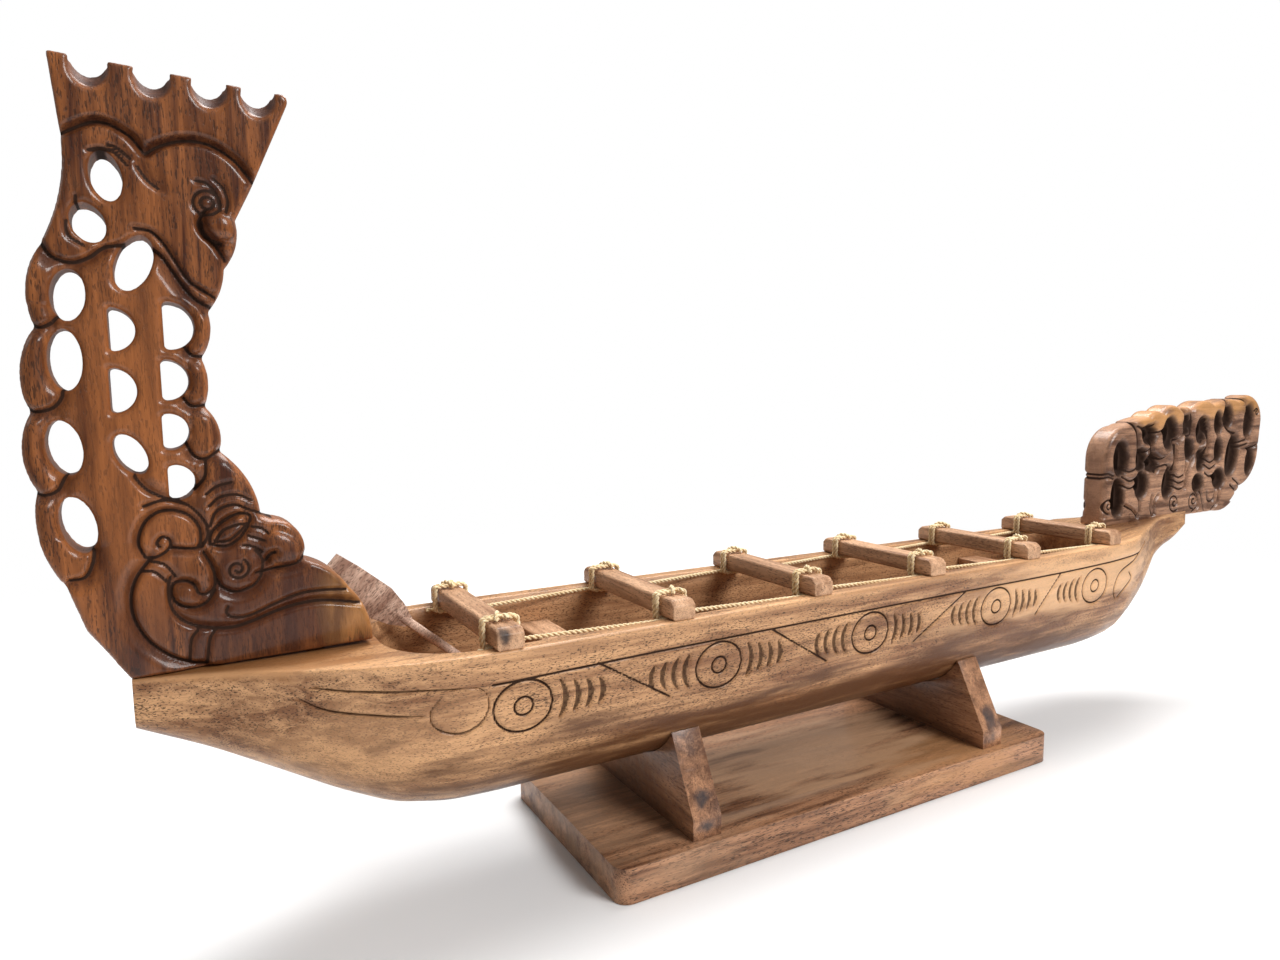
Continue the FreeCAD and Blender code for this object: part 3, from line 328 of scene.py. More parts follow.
# The twine's two plies: lay, offset and radius in thicknesses of the twine, and sides of a ply.
PLY_LAY = 2.6
PLY_OFFSET = 0.25
PLY_RADIUS = 0.285
PLY_SIDES = 7

# Lamps in metres and watts: name, place, aim, size, power.
LAMPS = (("Key", (0.45, 0.55, 1.8), (0, 0, 0.1), 1.2, 46),
         ("Front", (0.75, -1.6, 1.45), (0, 0, 0.12), 0.9, 40),
         ("Side", (-1.5, 0.5, 1.0), (-0.1, 0, 0.2), 0.6, 1.5))
# Light from all round, and the distance in metres over which the floor fades out.
SKY = 0.24
FLOOR_FADE = (0.5, 1.0)
# Camera: place, then yaw, pitch and roll in degrees, lens and sensor width.
CAMERA_PLACE = (-335.95, -404.70, 245.78)
CAMERA_TURN = (29.347, 6.142, 0.662)
CAMERA_LENS = 23.987
CAMERA_SENSOR = 36


def length(name, words, size):
    """A length property, given in millimetres."""
    return bpy.props.FloatProperty(name=name, description=words, default=size * MM, subtype="DISTANCE",
                                   unit="LENGTH")


def colour(name, words, rgb):
    """A colour property."""
    return bpy.props.FloatVectorProperty(name=name, description=words, default=rgb, subtype="COLOR",
                                         size=3, min=0, max=1)


class CanoeSizes(bpy.types.PropertyGroup):
    """Sizes that the looks are worked to."""
    fineness: length("Carving fineness", "Grid that the two carved boards are cut on", 0.86)
    column: length("Hull columns", "Spacing of the hull's sections along the frieze", 0.94)
    frieze_depth: length("Frieze depth", "Depth of the cuts along the hull", 1.3)
    edge: length("Worn edge", "Rounding of the stand's edges", 1.6)
    twine: length("Twine", "Thickness of the two-ply lashing twine", 2.2)


class CanoeColours(bpy.types.PropertyGroup):
    """Colours of the woods and the twine."""
    hull_light: colour("Hull light", "Light figure of the hull wood", (0.66, 0.365, 0.175))
    hull_dark: colour("Hull dark", "Dark figure of the hull wood", (0.225, 0.096, 0.04))
    post_light: colour("Sternpost light", "Light figure of the sternpost", (0.345, 0.115, 0.033))
    post_dark: colour("Sternpost dark", "Dark figure of the sternpost", (0.058, 0.0145, 0.005))
    head_light: colour("Figurehead light", "Light figure of the figurehead", (0.54, 0.295, 0.175))
    head_dark: colour("Figurehead dark", "Dark figure of the figurehead", (0.105, 0.046, 0.025))
    ochre: colour("Ochre", "Sapwood showing along the carvings' edges", (0.64, 0.31, 0.1))
    thwart_light: colour("Thwart light", "Light figure of the thwarts", (0.69, 0.41, 0.24))
    thwart_dark: colour("Thwart dark", "Dark figure of the thwarts", (0.31, 0.155, 0.08))
    stand_light: colour("Stand light", "Light figure of the stand", (0.52, 0.26, 0.135))
    stand_dark: colour("Stand dark", "Dark figure of the stand", (0.13, 0.054, 0.026))
    paddle_light: colour("Paddle light", "Light figure of the dry paddle", (0.93, 0.66, 0.51))
    paddle_dark: colour("Paddle dark", "Dark figure of the dry paddle", (0.36, 0.205, 0.145))
    # Dark colour of the pores and of the cut lines, and painted shade deep in the figurehead's hollows.
    pores_cuts_and_shade: colour("Groove", "Colour that has settled in the cuts and pores", (0.026, 0.0105, 0.005))
    twine_light: colour("Twine light", "Straw colour of the twine", (0.97, 0.83, 0.56))
    twine_dark: colour("Twine dark", "Shaded fibres of the twine", (0.68, 0.47, 0.22))
    steel: colour("Steel", "Nails and pins", (0.35, 0.34, 0.33))


def alone(obj):
    """Makes one object the only one selected."""
    bpy.ops.object.select_all(action="DESELECT")
    obj.select_set(True)
    bpy.context.view_layer.objects.active = obj


def new_object(name, points, faces):
    """A mesh object from points in millimetres."""
    mesh = bpy.data.meshes.new(name)
    mesh.from_pydata((np.asarray(points, float) * MM).tolist(), [], faces)
    mesh.update()
    obj = bpy.data.objects.new(name, mesh)
    bpy.context.scene.collection.objects.link(obj)
    return obj


def tidy_mesh(obj, gap=0.02, flat=1.0):
    """Merges doubles, joins flat faces and turns the normals outward."""
    alone(obj)
    bpy.ops.object.mode_set(mode="EDIT")
    bpy.ops.mesh.select_all(action="SELECT")
    bpy.ops.mesh.remove_doubles(threshold=gap * MM)
    if flat:
        bpy.ops.mesh.dissolve_limited(angle_limit=math.radians(flat))
    bpy.ops.mesh.normals_make_consistent(inside=False)
    bpy.ops.object.mode_set(mode="OBJECT")
    return obj


def copy_of(node, name):
    """A clean copy of a CAD node's form, to be worked further."""
    obj = bpy.data.objects.new(name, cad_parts[node].data.copy())
    bpy.context.scene.collection.objects.link(obj)
    obj.data.materials.clear()
    return tidy_mesh(obj)


def modify(obj, kind, **settings):
    """Adds a modifier, sets it and applies it."""
    alone(obj)
    bpy.ops.object.modifier_add(type=kind)
    modifier = obj.modifiers[-1]
    for key, value in settings.items():
        setattr(modifier, key, value)
    bpy.ops.object.modifier_apply(modifier=modifier.name)


def bevel(obj, width, segments, angle):
    """Rounds the edges that are sharper than an angle."""
    modify(obj, "BEVEL", width=width, segments=segments, limit_method="ANGLE",
           angle_limit=math.radians(angle))


def vectors(mesh, what):
    """One vector for each point of a mesh, such as its place in metres or its normal."""
    flat = np.zeros(len(mesh.vertices) * 3)
    mesh.vertices.foreach_get(what, flat)
    return flat.reshape(-1, 3)


def move_to(obj, points):
    """Moves an object's points, given in millimetres."""
    obj.data.vertices.foreach_set("co", (points * MM).ravel())
    obj.data.update()


def paint(obj, name, values):
    """Keeps one value per point for the material."""
    layer = obj.data.attributes.new(name, "FLOAT", "POINT")
    layer.data.foreach_set("value", np.asarray(values, np.float32))


def settle(obj, body, material, nodes, smooth):
    """Gives a finished piece its finish and its body, and hides the CAD nodes it stands for."""
    obj.data.materials.clear()
    obj.data.materials.append(material)
    alone(obj)
    if smooth:
        bpy.ops.object.shade_smooth_by_angle(angle=math.radians(smooth))
    else:
        bpy.ops.object.shade_smooth()
    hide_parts(*nodes)
    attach(obj, body)


def through(points, step=0.7):
    """A smooth line through given points."""
    p = np.asarray(points, float)
    if len(p) < 3:
        p = np.linspace(p[0], p[-1], 3)
    ends = np.vstack((2 * p[0] - p[1], p, 2 * p[-1] - p[-2]))
    line = []
    for a, b, c, d in zip(ends, ends[1:], ends[2:], ends[3:]):
        count = max(2, int(np.linalg.norm(c - b) / step))
        t = np.linspace(0, 1, count, endpoint=False)[:, None]
        line.append(b + t * (c - a) / 2 + t * t * (a - 2.5 * b + 2 * c - d / 2)
                    + t ** 3 * (1.5 * (b - c) + (d - a) / 2))
    return np.vstack(line + [p[-1:]])


def spiral(x, z, low, high, turns, start):
    """A spiral cut as listed points."""
    share = np.linspace(0, 1, int(turns * 12) + 1)
    radius = low + (high - low) * share
    angle = np.radians(start + 360 * turns * share)
    return np.stack((x + radius * np.cos(angle), z + radius * np.sin(angle)), 1)


def oval(x, z, wide, tall):
    """A closed oval cut as listed points."""
    return [(x + wide * math.cos(math.pi * n / 6), z + tall * math.sin(math.pi * n / 6)) for n in range(13)]


def darkened(inside):
    """A value that passes one where a place lies inside a dark cut, from millimetres inside it."""
    return np.clip(1 + inside / 3, 0, 1.33)


def cut_away(u, v, cuts, dark_half):
    """Depth of the cuts, and how far inside their dark lines each place on a face lies."""
    depth = np.zeros(len(u))
    dark = np.zeros(len(u))
    for points, left, right, deep, *taper in cuts:
        line = through(points)
        reach = max(left, right) * (2 if taper else 1) + 1.5
        low = line.min(0) - reach
        high = line.max(0) + reach
        near = np.nonzero((u > low[0]) & (u < high[0]) & (v > low[1]) & (v < high[1]))[0]
        if not len(near):
            continue
        along = line[1:] - line[:-1]
        offset = np.stack((u[near], v[near]), 1)[:, None] - line[None, :-1]
        share = np.clip((offset * along).sum(2) / (along * along).sum(1), 0, 1)
        away = offset - share[..., None] * along
        square = (away * away).sum(2)
        best = square.argmin(1)
        rows = np.arange(len(near))
        gap = np.sqrt(square[rows, best])
        side = along[best, 0] * offset[rows, best, 1] - along[best, 1] * offset[rows, best, 0]
        swell = 1.0
        if taper:
            run = np.clip((best + share[rows, best]) / len(along), 0, 1)
            swell = 0.15 + taper[0] * np.clip(4 * run * (1 - run), 0, 1) ** 0.7
        fall = np.clip(1 - gap / (np.where(side > 0, left, right) * swell), 0, 1)
        depth[near] = np.maximum(depth[near], deep * fall ** 1.5)
        stain = darkened(dark_half * swell - gap)
        dark[near] = np.maximum(dark[near], np.minimum(stain, FAINT) if taper else stain)
    return depth, dark


def bold(kinds, widen, deepen):
    """Cuts one by one from their kinds, as wide and deep as the piece wants them."""
    return [(points, widen * left, widen * right, deepen * deep)
            for left, right, deep, *lines in kinds for points in lines]


def tilted(u, v, x, z, tilt):
    """Places on a face as seen from a tilted oval's middle, across and along it."""
    cos = math.cos(math.radians(tilt))
    sin = math.sin(math.radians(tilt))
    return (u - x) * cos + (v - z) * sin, (v - z) * cos - (u - x) * sin


def knob_rise(u, v, knobs):
    """Height of the rounded knobs at each place on a face."""
    rise = np.zeros(len(u))
    for x, z, wide, tall, tilt, height in knobs:
        a, b = tilted(u, v, x, z, tilt)
        rise = np.maximum(rise, height * np.sqrt(np.clip(1 - (a / wide) ** 2 - (b / tall) ** 2, 0, 1)))
    return rise


def round_piercings(points, origin, ovals):
    """Draws the straight-sided piercings in to true ovals."""
    for x, z, wide, tall, tilt in ovals:
        a, b = tilted(points[:, 0] - origin[0], points[:, 2] - origin[1], x, z, tilt)
        straight = np.sqrt(np.maximum(wide ** 2 - np.maximum(np.abs(b) - tall + wide, 0) ** 2, 0))
        true = wide * OVAL_SWELL * np.sqrt(np.maximum(1 - (b / tall) ** 2, 0))
        fade = np.clip(1 - (np.abs(a) - straight) / OVAL_REACH, 0, 1) * (np.abs(b) < tall)
        shift = np.sign(a) * (true - straight) * fade
        points[:, 0] += shift * math.cos(math.radians(tilt))
        points[:, 2] += shift * math.sin(math.radians(tilt))


def hollow_gap(u, v, hollows):
    """How far each place lies outside the ground that is cut back around the piercings."""
    least = np.full(len(u), 99.0)
    for x, z, wide, tall, tilt in hollows:
        a, b = tilted(u, v, x, z, tilt)
        far = np.hypot(a / (wide + HOLLOW_RIM), b / (tall + HOLLOW_RIM)) - 1
        least = np.minimum(least, far * (min(wide, tall) + HOLLOW_RIM))
    return least


def rim_points(obj, half):
    """Points along the arrises of a flat board's front face, in millimetres."""
    form = bmesh.new()
    form.from_mesh(obj.data)
    found = []
    for edge in form.edges:
        a, b = (vertex.co / MM for vertex in edge.verts)
        if a.y > -half + 0.05 or b.y > -half + 0.05 or edge.calc_face_angle(0) < 0.5:
            continue
        count = max(1, int((b - a).length / 0.6))
        found += [a.lerp(b, n / count) for n in range(count + 1)]
    form.free()
    return found


def carved_board(node, name, board, cuts, knobs, soften, fineness, ovals=(), hollows=(), crown=()):
    """A pierced board whose two faces are carved in relief."""
    origin, half, dark_mark = board
    obj = copy_of(node, name)
    arris = rim_points(obj, half)
    modify(obj, "REMESH", mode="VOXEL", voxel_size=fineness, use_smooth_shade=True)
    modify(obj, "SMOOTH", factor=0.5, iterations=2)
    tree = kdtree.KDTree(len(arris))
    for n, point in enumerate(arris):
        tree.insert((point.x, 0, point.z), n)
    tree.balance()
    points = vectors(obj.data, "co") / MM
    gap = np.array([tree.find((x, 0, z))[2] for x, y, z in points])
    u = points[:, 0] - origin[0]
    v = points[:, 2] - origin[1]
    away = hollow_gap(u, v, hollows)
    gap = np.minimum(gap, np.maximum(away, 0))
    radius = soften(u, v)
    inside = np.clip(1 - gap / radius, 0, 1)
    rounding = radius * (1 - np.sqrt(1 - inside * inside))
    depth, dark = cut_away(u, v, cuts, dark_mark)
    sunk = np.clip((0.4 - away) / 0.9, 0, 1)
    # Painted shade: the ground cut back round the figurehead's piercings darkens from brown at its rim to
    # near black deep inside.
    dark = np.maximum(dark, darkened(0.1 * (1.1 - away)) * (away < 3))
    push = np.minimum(np.maximum(rounding + depth, HOLLOW_DEPTH * sunk), half - LEAST_WOOD)
    push -= knob_rise(u, v, knobs) * (1 - sunk)
    points[:, 1] *= (half - push) / half
    round_piercings(points, origin, ovals)
    move_to(obj, points)
    modify(obj, "SMOOTH", factor=0.4, iterations=1)
    sloped = np.abs(vectors(obj.data, "normal")[:, 1]) < 0.8
    # Painted shade: the sloped insides of the crown's scoops are darkened.
    shaded_scoops = np.zeros(len(points))
    for x, z in crown:
        shaded_scoops = np.maximum(shaded_scoops, sloped & (np.hypot(u - x, v - z) < CROWN_REACH))
    paint(obj, "dark_cuts_and_shade", dark)
    # Lighter arrises: wear, and painted highlight.
    paint(obj, "edge", np.clip(1 - gap / WORN_ARRIS, 0, 1) * (dark < 0.95))
    # Painted shade that gathers in and beside the cuts and round the hollows, and in the crown's scoops; it
    # also strengthens the tool marks.
    shade_near_cuts = np.maximum(np.clip(depth / PAINTED_SHADE_DEPTH, 0, 1), np.clip(1 - away / PAINTED_SHADE_REACH, 0, 1))
    paint(obj, "hewn_and_shade", np.maximum(shaded_scoops, 0.8 * shade_near_cuts))
    return obj


def make(tree, kind, inputs=(), **settings):
    """A shader node with its settings and inputs."""
    made = tree.nodes.new(kind)
    for key, value in settings.items():
        setattr(made, key, value)
    for key, value in dict(inputs).items():
        if isinstance(value, bpy.types.NodeSocket):
            tree.links.new(value, made.inputs[key])
        else:
            made.inputs[key].default_value = value
    return made


def mix(tree, share, a, b):
    """One colour mixed into another."""
    return make(tree, "ShaderNodeMix", {0: share, 6: a, 7: b}, data_type="RGBA").outputs[2]


def noise(tree, place, scale, detail, rough=0.5, warp=0.0):
    """An uneven value over the places given."""
    return make(tree, "ShaderNodeTexNoise", {"Vector": place, "Scale": scale, "Detail": detail,
                                             "Roughness": rough, "Distortion": warp}).outputs[0]


def ranged(tree, value, low, high, to_low=0.0, to_high=1.0):
    """A value brought from one range to another."""
    return make(tree, "ShaderNodeMapRange", {0: value, 1: low, 2: high, 3: to_low, 4: to_high}).outputs[0]


def math_node(tree, operation, a, b=0.0):
    """One sum."""
    return make(tree, "ShaderNodeMath", {0: a, 1: b}, operation=operation).outputs[0]


def vector_node(tree, operation, a, b=(0, 0, 0)):
    """One step of vector reckoning."""
    return make(tree, "ShaderNodeVectorMath", {0: a, 1: b}, operation=operation)


def socket(group, name, kind, way="INPUT"):
    """A socket on a node group's own face."""
    group.interface.new_socket(name=name, in_out=way, socket_type=kind)


def wood_group():
    """Figure, pores and unevenness of a wood whose grain runs along X."""
    group = bpy.data.node_groups.new("WoodGrain", "ShaderNodeTree")
    socket(group, "Vector", "NodeSocketVector")
    for name in ("Light", "Dark", "Pore"):
        socket(group, name, "NodeSocketColor")
    socket(group, "Pore share", "NodeSocketFloat")
    socket(group, "Pore run", "NodeSocketFloat")
    socket(group, "Colour", "NodeSocketColor", "OUTPUT")
    socket(group, "Height", "NodeSocketFloat", "OUTPUT")
    socket(group, "Polish", "NodeSocketFloat", "OUTPUT")
    come = group.nodes.new("NodeGroupInput").outputs

    def grained(scale, detail, rough=0.55, warp=0.0):
        placed = make(group, "ShaderNodeMapping", {"Vector": come["Vector"], "Scale": scale})
        return noise(group, placed.outputs[0], 1.0, detail, rough, warp)

    broad = grained((7, 42, 42), 3, 0.6, 0.6)
    figure = grained((16, 230, 230), 4, 0.6, 0.8)
    fibre = grained((90, 1500, 1500), 2)
    run = make(group, "ShaderNodeCombineXYZ", {0: come["Pore run"], 1: 2050.0, 2: 2050.0}).outputs[0]
    pores = grained(run, 1)
    patches = grained((30, 60, 60), 2)
    tone = math_node(group, "ADD", ranged(group, broad, 0.35, 0.65, -0.1, 0.8),
                     ranged(group, figure, 0.35, 0.65, -0.25, 0.6))
    base = mix(group, tone, come["Dark"], come["Light"])
    base = mix(group, ranged(group, fibre, 0.35, 0.7, 0.0, 0.32), base, come["Dark"])
    shown = math_node(group, "ADD", pores, ranged(group, patches, 0.35, 0.65, -0.035, 0.035))
    fleck = math_node(group, "MULTIPLY", ranged(group, shown, 0.57, 0.63), come["Pore share"])
    base = mix(group, fleck, base, come["Pore"])
    height = math_node(group, "SUBTRACT", math_node(group, "MULTIPLY", fibre, 0.35), fleck)
    polish = ranged(group, patches, 0.3, 0.7, -0.07, 0.09)
    make(group, "NodeGroupOutput", {"Colour": base, "Height": height, "Polish": polish})


def patch_group():
    """A soft-edged patch around one place, broken up by the grain."""
    group = bpy.data.node_groups.new("Patch", "ShaderNodeTree")
    for name in ("Vector", "Grain", "Centre", "Stretch"):
        socket(group, name, "NodeSocketVector")
    socket(group, "Mask", "NodeSocketFloat", "OUTPUT")
    come = group.nodes.new("NodeGroupInput").outputs
    away = vector_node(group, "SUBTRACT", come["Vector"], come["Centre"]).outputs[0]
    bent = vector_node(group, "MULTIPLY", away, come["Stretch"]).outputs[0]
    far = vector_node(group, "LENGTH", bent).outputs["Value"]
    drawn = make(group, "ShaderNodeMapping", {"Vector": come["Grain"], "Scale": (18, 110, 110)}).outputs[0]
    rough = noise(group, drawn, 1.0, 4.0)
    shaken = math_node(group, "ADD", far, ranged(group, rough, 0.3, 0.7, -0.45, 0.45))
    make(group, "NodeGroupOutput", {"Mask": ranged(group, shaken, 0.55, 1.15, 1.0, 0.0)})


def blank(name):
    """A new material and its empty node tree."""
    material = bpy.data.materials.new(name)
    material.use_nodes = True
    material.node_tree.nodes.clear()
    return material, material.node_tree


def shaded(tree, inputs):
    """Joins the finish's own shader to its output."""
    body = make(tree, "ShaderNodeBsdfPrincipled", inputs)
    make(tree, "ShaderNodeOutputMaterial", {0: body.outputs[0]})


def wood(name, light, dark, turn=(0, 0, 0), pores=0.75, rough=0.42, coat=0.25, relief=0.5, patches=(),
         dips=0.0, run=330.0, polish=0.2):
    """A wood finish with grain, pores, dark cuts, painted shade in recesses, and worn arrises lightened as
    wear and painted highlight.
    """
    material, tree = blank(name)
    pores_cuts_and_shade = (*bpy.context.scene.canoe_colours.pores_cuts_and_shade, 1)
    place = make(tree, "ShaderNodeTexCoord").outputs["Object"]
    turned = make(tree, "ShaderNodeMapping", {"Vector": place, "Rotation": [math.radians(a) for a in turn]})
    grain = make(tree, "ShaderNodeGroup", {
        "Vector": turned.outputs[0], "Light": (*light, 1), "Dark": (*dark, 1), "Pore": pores_cuts_and_shade,
        "Pore share": pores, "Pore run": run}, node_tree=bpy.data.node_groups["WoodGrain"])
    shade = grain.outputs["Colour"]
    for centre, stretch, tint, share in patches:
        patch = make(tree, "ShaderNodeGroup", {
            "Vector": place, "Grain": turned.outputs[0], "Centre": [value * MM for value in centre],
            "Stretch": [1 / (value * MM) for value in stretch]}, node_tree=bpy.data.node_groups["Patch"])
        shade = mix(tree, math_node(tree, "MULTIPLY", patch.outputs[0], share), shade, (*tint, 1))
    dark_mark, worn, hewn_and_shade = (make(tree, "ShaderNodeAttribute", attribute_name=kind).outputs["Fac"]
                       for kind in ("dark_cuts_and_shade", "edge", "hewn_and_shade"))
    cut = ranged(tree, dark_mark, 0.94, 1.04)
    rubbed_highlight = [min(1, 1.5 * value + 0.03) for value in light]
    # Painted shade: recesses, the ground round cuts and hollows, the crown's scoops and the hull's inside
    # darken towards the dark figure.
    shade = mix(tree, math_node(tree, "MULTIPLY", hewn_and_shade, 0.72), shade, (*dark, 1))
    # Worn arrises lighten: wear, and painted highlight.
    shade = mix(tree, math_node(tree, "MULTIPLY", worn, 0.3), shade, (*rubbed_highlight, 1))
    # Dark cut lines, and painted shade deep in the figurehead's hollows.
    shade = mix(tree, math_node(tree, "MULTIPLY", cut, 0.97), shade, pores_cuts_and_shade)
    bump = make(tree, "ShaderNodeBump", {"Strength": relief, "Distance": 0.0004,
                                         "Height": grain.outputs["Height"]})
    slow = noise(tree, place, 130.0, 2.0)
    chopped = math_node(tree, "ADD", math_node(tree, "MULTIPLY", hewn_and_shade, 0.6), 0.3 + dips)
    tooled = make(tree, "ShaderNodeBump", {"Strength": chopped, "Distance": 0.0009, "Height": slow,
                                           "Normal": bump.outputs[0]})
    gloss = math_node(tree, "ADD", grain.outputs["Polish"], rough)
    dull = math_node(tree, "MAXIMUM", cut, math_node(tree, "MULTIPLY", hewn_and_shade, 0.6))
    gloss = math_node(tree, "ADD", gloss, math_node(tree, "MULTIPLY", dull, 0.45))
    varnish = math_node(tree, "MULTIPLY", math_node(tree, "SUBTRACT", 1.0, dull), coat)
    shaded(tree, {"Base Color": shade, "Roughness": gloss, "Normal": tooled.outputs[0],
                  "Coat Weight": varnish, "Coat Roughness": polish, "Specular IOR Level": 0.22})
    return material


def twine_finish():
    """Dry straw twine with fine fibres."""
    colours = bpy.context.scene.canoe_colours
    material, tree = blank("Twine")
    place = make(tree, "ShaderNodeTexCoord").outputs["Object"]
    fibre = noise(tree, place, 1500.0, 3.0)
    slow = noise(tree, place, 90.0, 2.0)
    share = math_node(tree, "ADD", ranged(tree, fibre, 0.3, 0.7, 0.0, 0.6),
                      ranged(tree, slow, 0.3, 0.7, 0.0, 0.4))
    shade = mix(tree, share, (*colours.twine_dark, 1), (*colours.twine_light, 1))
    bump = make(tree, "ShaderNodeBump", {"Strength": 0.6, "Distance": 0.0003, "Height": fibre})
    shaded(tree, {"Base Color": shade, "Roughness": 0.8, "Normal": bump.outputs[0], "Sheen Weight": 0.25})
    return material


def steel_finish():
    """Dull nail steel."""
    material, tree = blank("Steel")
    place = make(tree, "ShaderNodeTexCoord").outputs["Object"]
    spots = noise(tree, place, 900.0, 4.0)
    steel = (*bpy.context.scene.canoe_colours.steel, 1)
    shade = mix(tree, ranged(tree, spots, 0.45, 0.65), steel, (0.12, 0.07, 0.045, 1))
    bump = make(tree, "ShaderNodeBump", {"Strength": 0.3, "Distance": 0.0002, "Height": spots})
    shaded(tree, {"Base Color": shade, "Metallic": 0.85, "Normal": bump.outputs[0],
                  "Roughness": ranged(tree, spots, 0.3, 0.7, 0.3, 0.6)})
    return material


def finish_node(node, material):
    """A CAD node whose form stays takes its finish."""
    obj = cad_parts[node]
    obj.data.materials.clear()
    obj.data.materials.append(material)


def stations():
    """Hull stations from stern to bow: X, half beam, keel, squareness."""
    rows = [(STERN_TIP + run, TIP_BEAM + (STERN_BEAM - TIP_BEAM) * spread, KEEL + STERN_RISE * rise, square)
            for run, spread, rise, square in STERN_STATIONS]
    rows += [(x, STERN_BEAM - BEAM_STEP * n, KEEL, 0) for n, x in enumerate(THWART_X)]
    rows += [(BOW_TIP - run, TIP_BEAM + (BOW_BEAM - TIP_BEAM) * spread, KEEL + BOW_RISE * rise, square)
             for run, spread, rise, square in BOW_STATIONS]
    return np.array(rows, float)


def hull_lines(xs):
    """Half beam, keel, squareness and deck height at each section, faired lengthwise."""
    rows = stations()
    fine = np.arange(STERN_TIP, BOW_TIP + 0.5, 1.0)
    window = np.hanning(2 * FAIRING + 1)
    window /= window.sum()
    out = []
    for column in (1, 2, 3):
        raw = np.interp(fine, rows[:, 0], rows[:, column])
        before = 2 * raw[0] - raw[FAIRING:0:-1]
        after = 2 * raw[-1] - raw[-2:-FAIRING - 2:-1]
        faired = np.convolve(np.concatenate((before, raw, after)), window, "valid")
        out.append(np.interp(xs, fine, faired))
    deck = DECK + np.interp(xs, *SHEER)
    return out[0], out[1], np.clip(out[2], 0, 1), deck


def opening_beam(x):
    """Half width between the gunwales, before the opening's corners are rounded."""
    return np.interp(x, *BESIDE) - GUNWALE


def opening_half(x):
    """Half width of the deck opening's rounded plan."""
    half = opening_beam(x)
    for end, corner, way in zip(OPENING, OPENING_CORNERS, (1, -1)):
        run = np.clip((x - end) * way, 0, corner)
        half = half - corner + np.sqrt(np.maximum(corner * corner - (corner - run) ** 2, 0))
    return half


def frieze_cuts():
    """The cuts of the carved frieze along one side."""
    cuts = [(points, *LINE_CUT) for points in HULL_LINES]
    cuts += [(points, *LEAF_CUT) for points in STERN_LEAF]
    cuts.append((TOP_LINE, *TOP_CUT))
    for x in RING_X:
        cuts.append((oval(x, RING_Z, *RING), *RING_CUT))
        cuts.append((oval(x, RING_Z, *EYE), *EYE_CUT))
    beside = [(x, 1) for x in RING_X[:-1]] + [(x, -1) for x in RING_X[1:]]
    for x, way in beside:
        for away, reach in CRESCENTS:
            crescent = [(x + way * (away - CRESCENT_BEND * reach * t * t), RING_Z - reach * t)
                        for t in (-1, -0.5, 0, 0.5, 1)]
            cuts.append((crescent, *CRESCENT_CUT))
    return cuts


def hull_columns(column):
    """Places of the hull's sections, closest together where the frieze is cut."""
    fine = np.arange(*FRIEZE_RUN, column)
    close = np.abs(fine[:, None] - np.array(RING_X)).min(1) < RING_REACH
    for low, high in LEAF_RUNS:
        close |= (fine > low) & (fine < high)
    stern = np.linspace(STERN_TIP, FRIEZE_RUN[0] - 2, STERN_COLUMNS)
    bow = np.linspace(FRIEZE_RUN[1] + 1, BOW_TIP, BOW_COLUMNS)
    return np.unique(np.concatenate((stern, fine[close], fine[~close][::2], bow, OPENING)))


def bilge(chine_y, chine_z, keel, shares):
    """Rows of the round bottom from the keel towards the chine."""
    centre = (chine_y ** 2 + chine_z ** 2 - keel ** 2) / (2 * (chine_z - keel))
    lean = np.arctan2(chine_y, centre - chine_z)
    return [((centre - keel) * np.sin(lean * share), centre - (centre - keel) * np.cos(lean * share))
            for share in shares]


def hull_rows(xs, is_open):
    """Rows of each section from the keel, over the gunwale and down inside, and where side and deck end."""
    half, keel, square, deck = hull_lines(xs)
    level = 0 * half
    chine_y = half * (CHINE[0] + (1 - CHINE[0]) * square)
    chine_z = keel * (CHINE[1] + CHINE_DROP * square)
    rows = bilge(chine_y, chine_z, keel, BILGE_ROWS)
    rows += [(half + (chine_y - half) * share, chine_z * share) for share in SIDE_ROWS]
    side_rows = len(rows)
    inner = np.where(is_open, opening_half(xs), np.minimum(8, half * 0.5))
    outer = half - 1.1 * LIP
    rows += [(half - 0.12 * LIP, level - 0.5 * LIP), (half - 0.5 * LIP, level - 0.12 * LIP)]
    rows += [(outer + (inner + 1.3 - outer) * share, level) for share in (0.0, 0.45, 1.0)]
    deck_rows = len(rows)
    beam = opening_beam(xs)
    well_y = beam * CHINE[0]
    well_z = (keel + FLOOR) * CHINE[1]
    rows.append((inner + 0.35, level - 0.35))
    inside = [(beam + (well_y - beam) * share, well_z * share) for share in (0.02, 0.3, 0.65, 1.0)]
    inside += bilge(well_y, well_z, keel + FLOOR, np.linspace(0.82, 0.0, 5))
    rows += [(np.minimum(inner, y), z) for y, z in inside]
    y, z = np.array(rows).transpose(1, 2, 0)
    return y, z + deck[:, None], side_rows, deck_rows


def hull_faces(count, wide, deck_rows, is_open):
    """Faces of both sides, then of the decks, the opening's two ends and the two tips."""
    total = count * wide
    faces = []
    for side, start in zip(SIDES, (0, total)):
        for n in range(count - 1):
            rows = wide if is_open[n] and is_open[n + 1] else deck_rows
            for k in range(rows - 1):
                a = start + n * wide + k
                quad = (a, a + wide, a + wide + 1, a + 1)
                faces.append(quad if side < 0 else quad[::-1])
    for n in range(count - 1):
        if not (is_open[n] and is_open[n + 1]):
            a = n * wide + deck_rows - 1
            faces.append((a, a + wide, a + wide + total, a + total))
    ends = np.nonzero(is_open)[0].tolist()
    for n, low, high in ((ends[0], deck_rows, wide), (ends[-1], deck_rows, wide), (0, 1, deck_rows),
                         (count - 1, 1, deck_rows)):
        for k in range(low - 1, high - 1):
            a = n * wide + k
            faces.append((a, a + 1, a + 1 + total, a + total))
    return faces


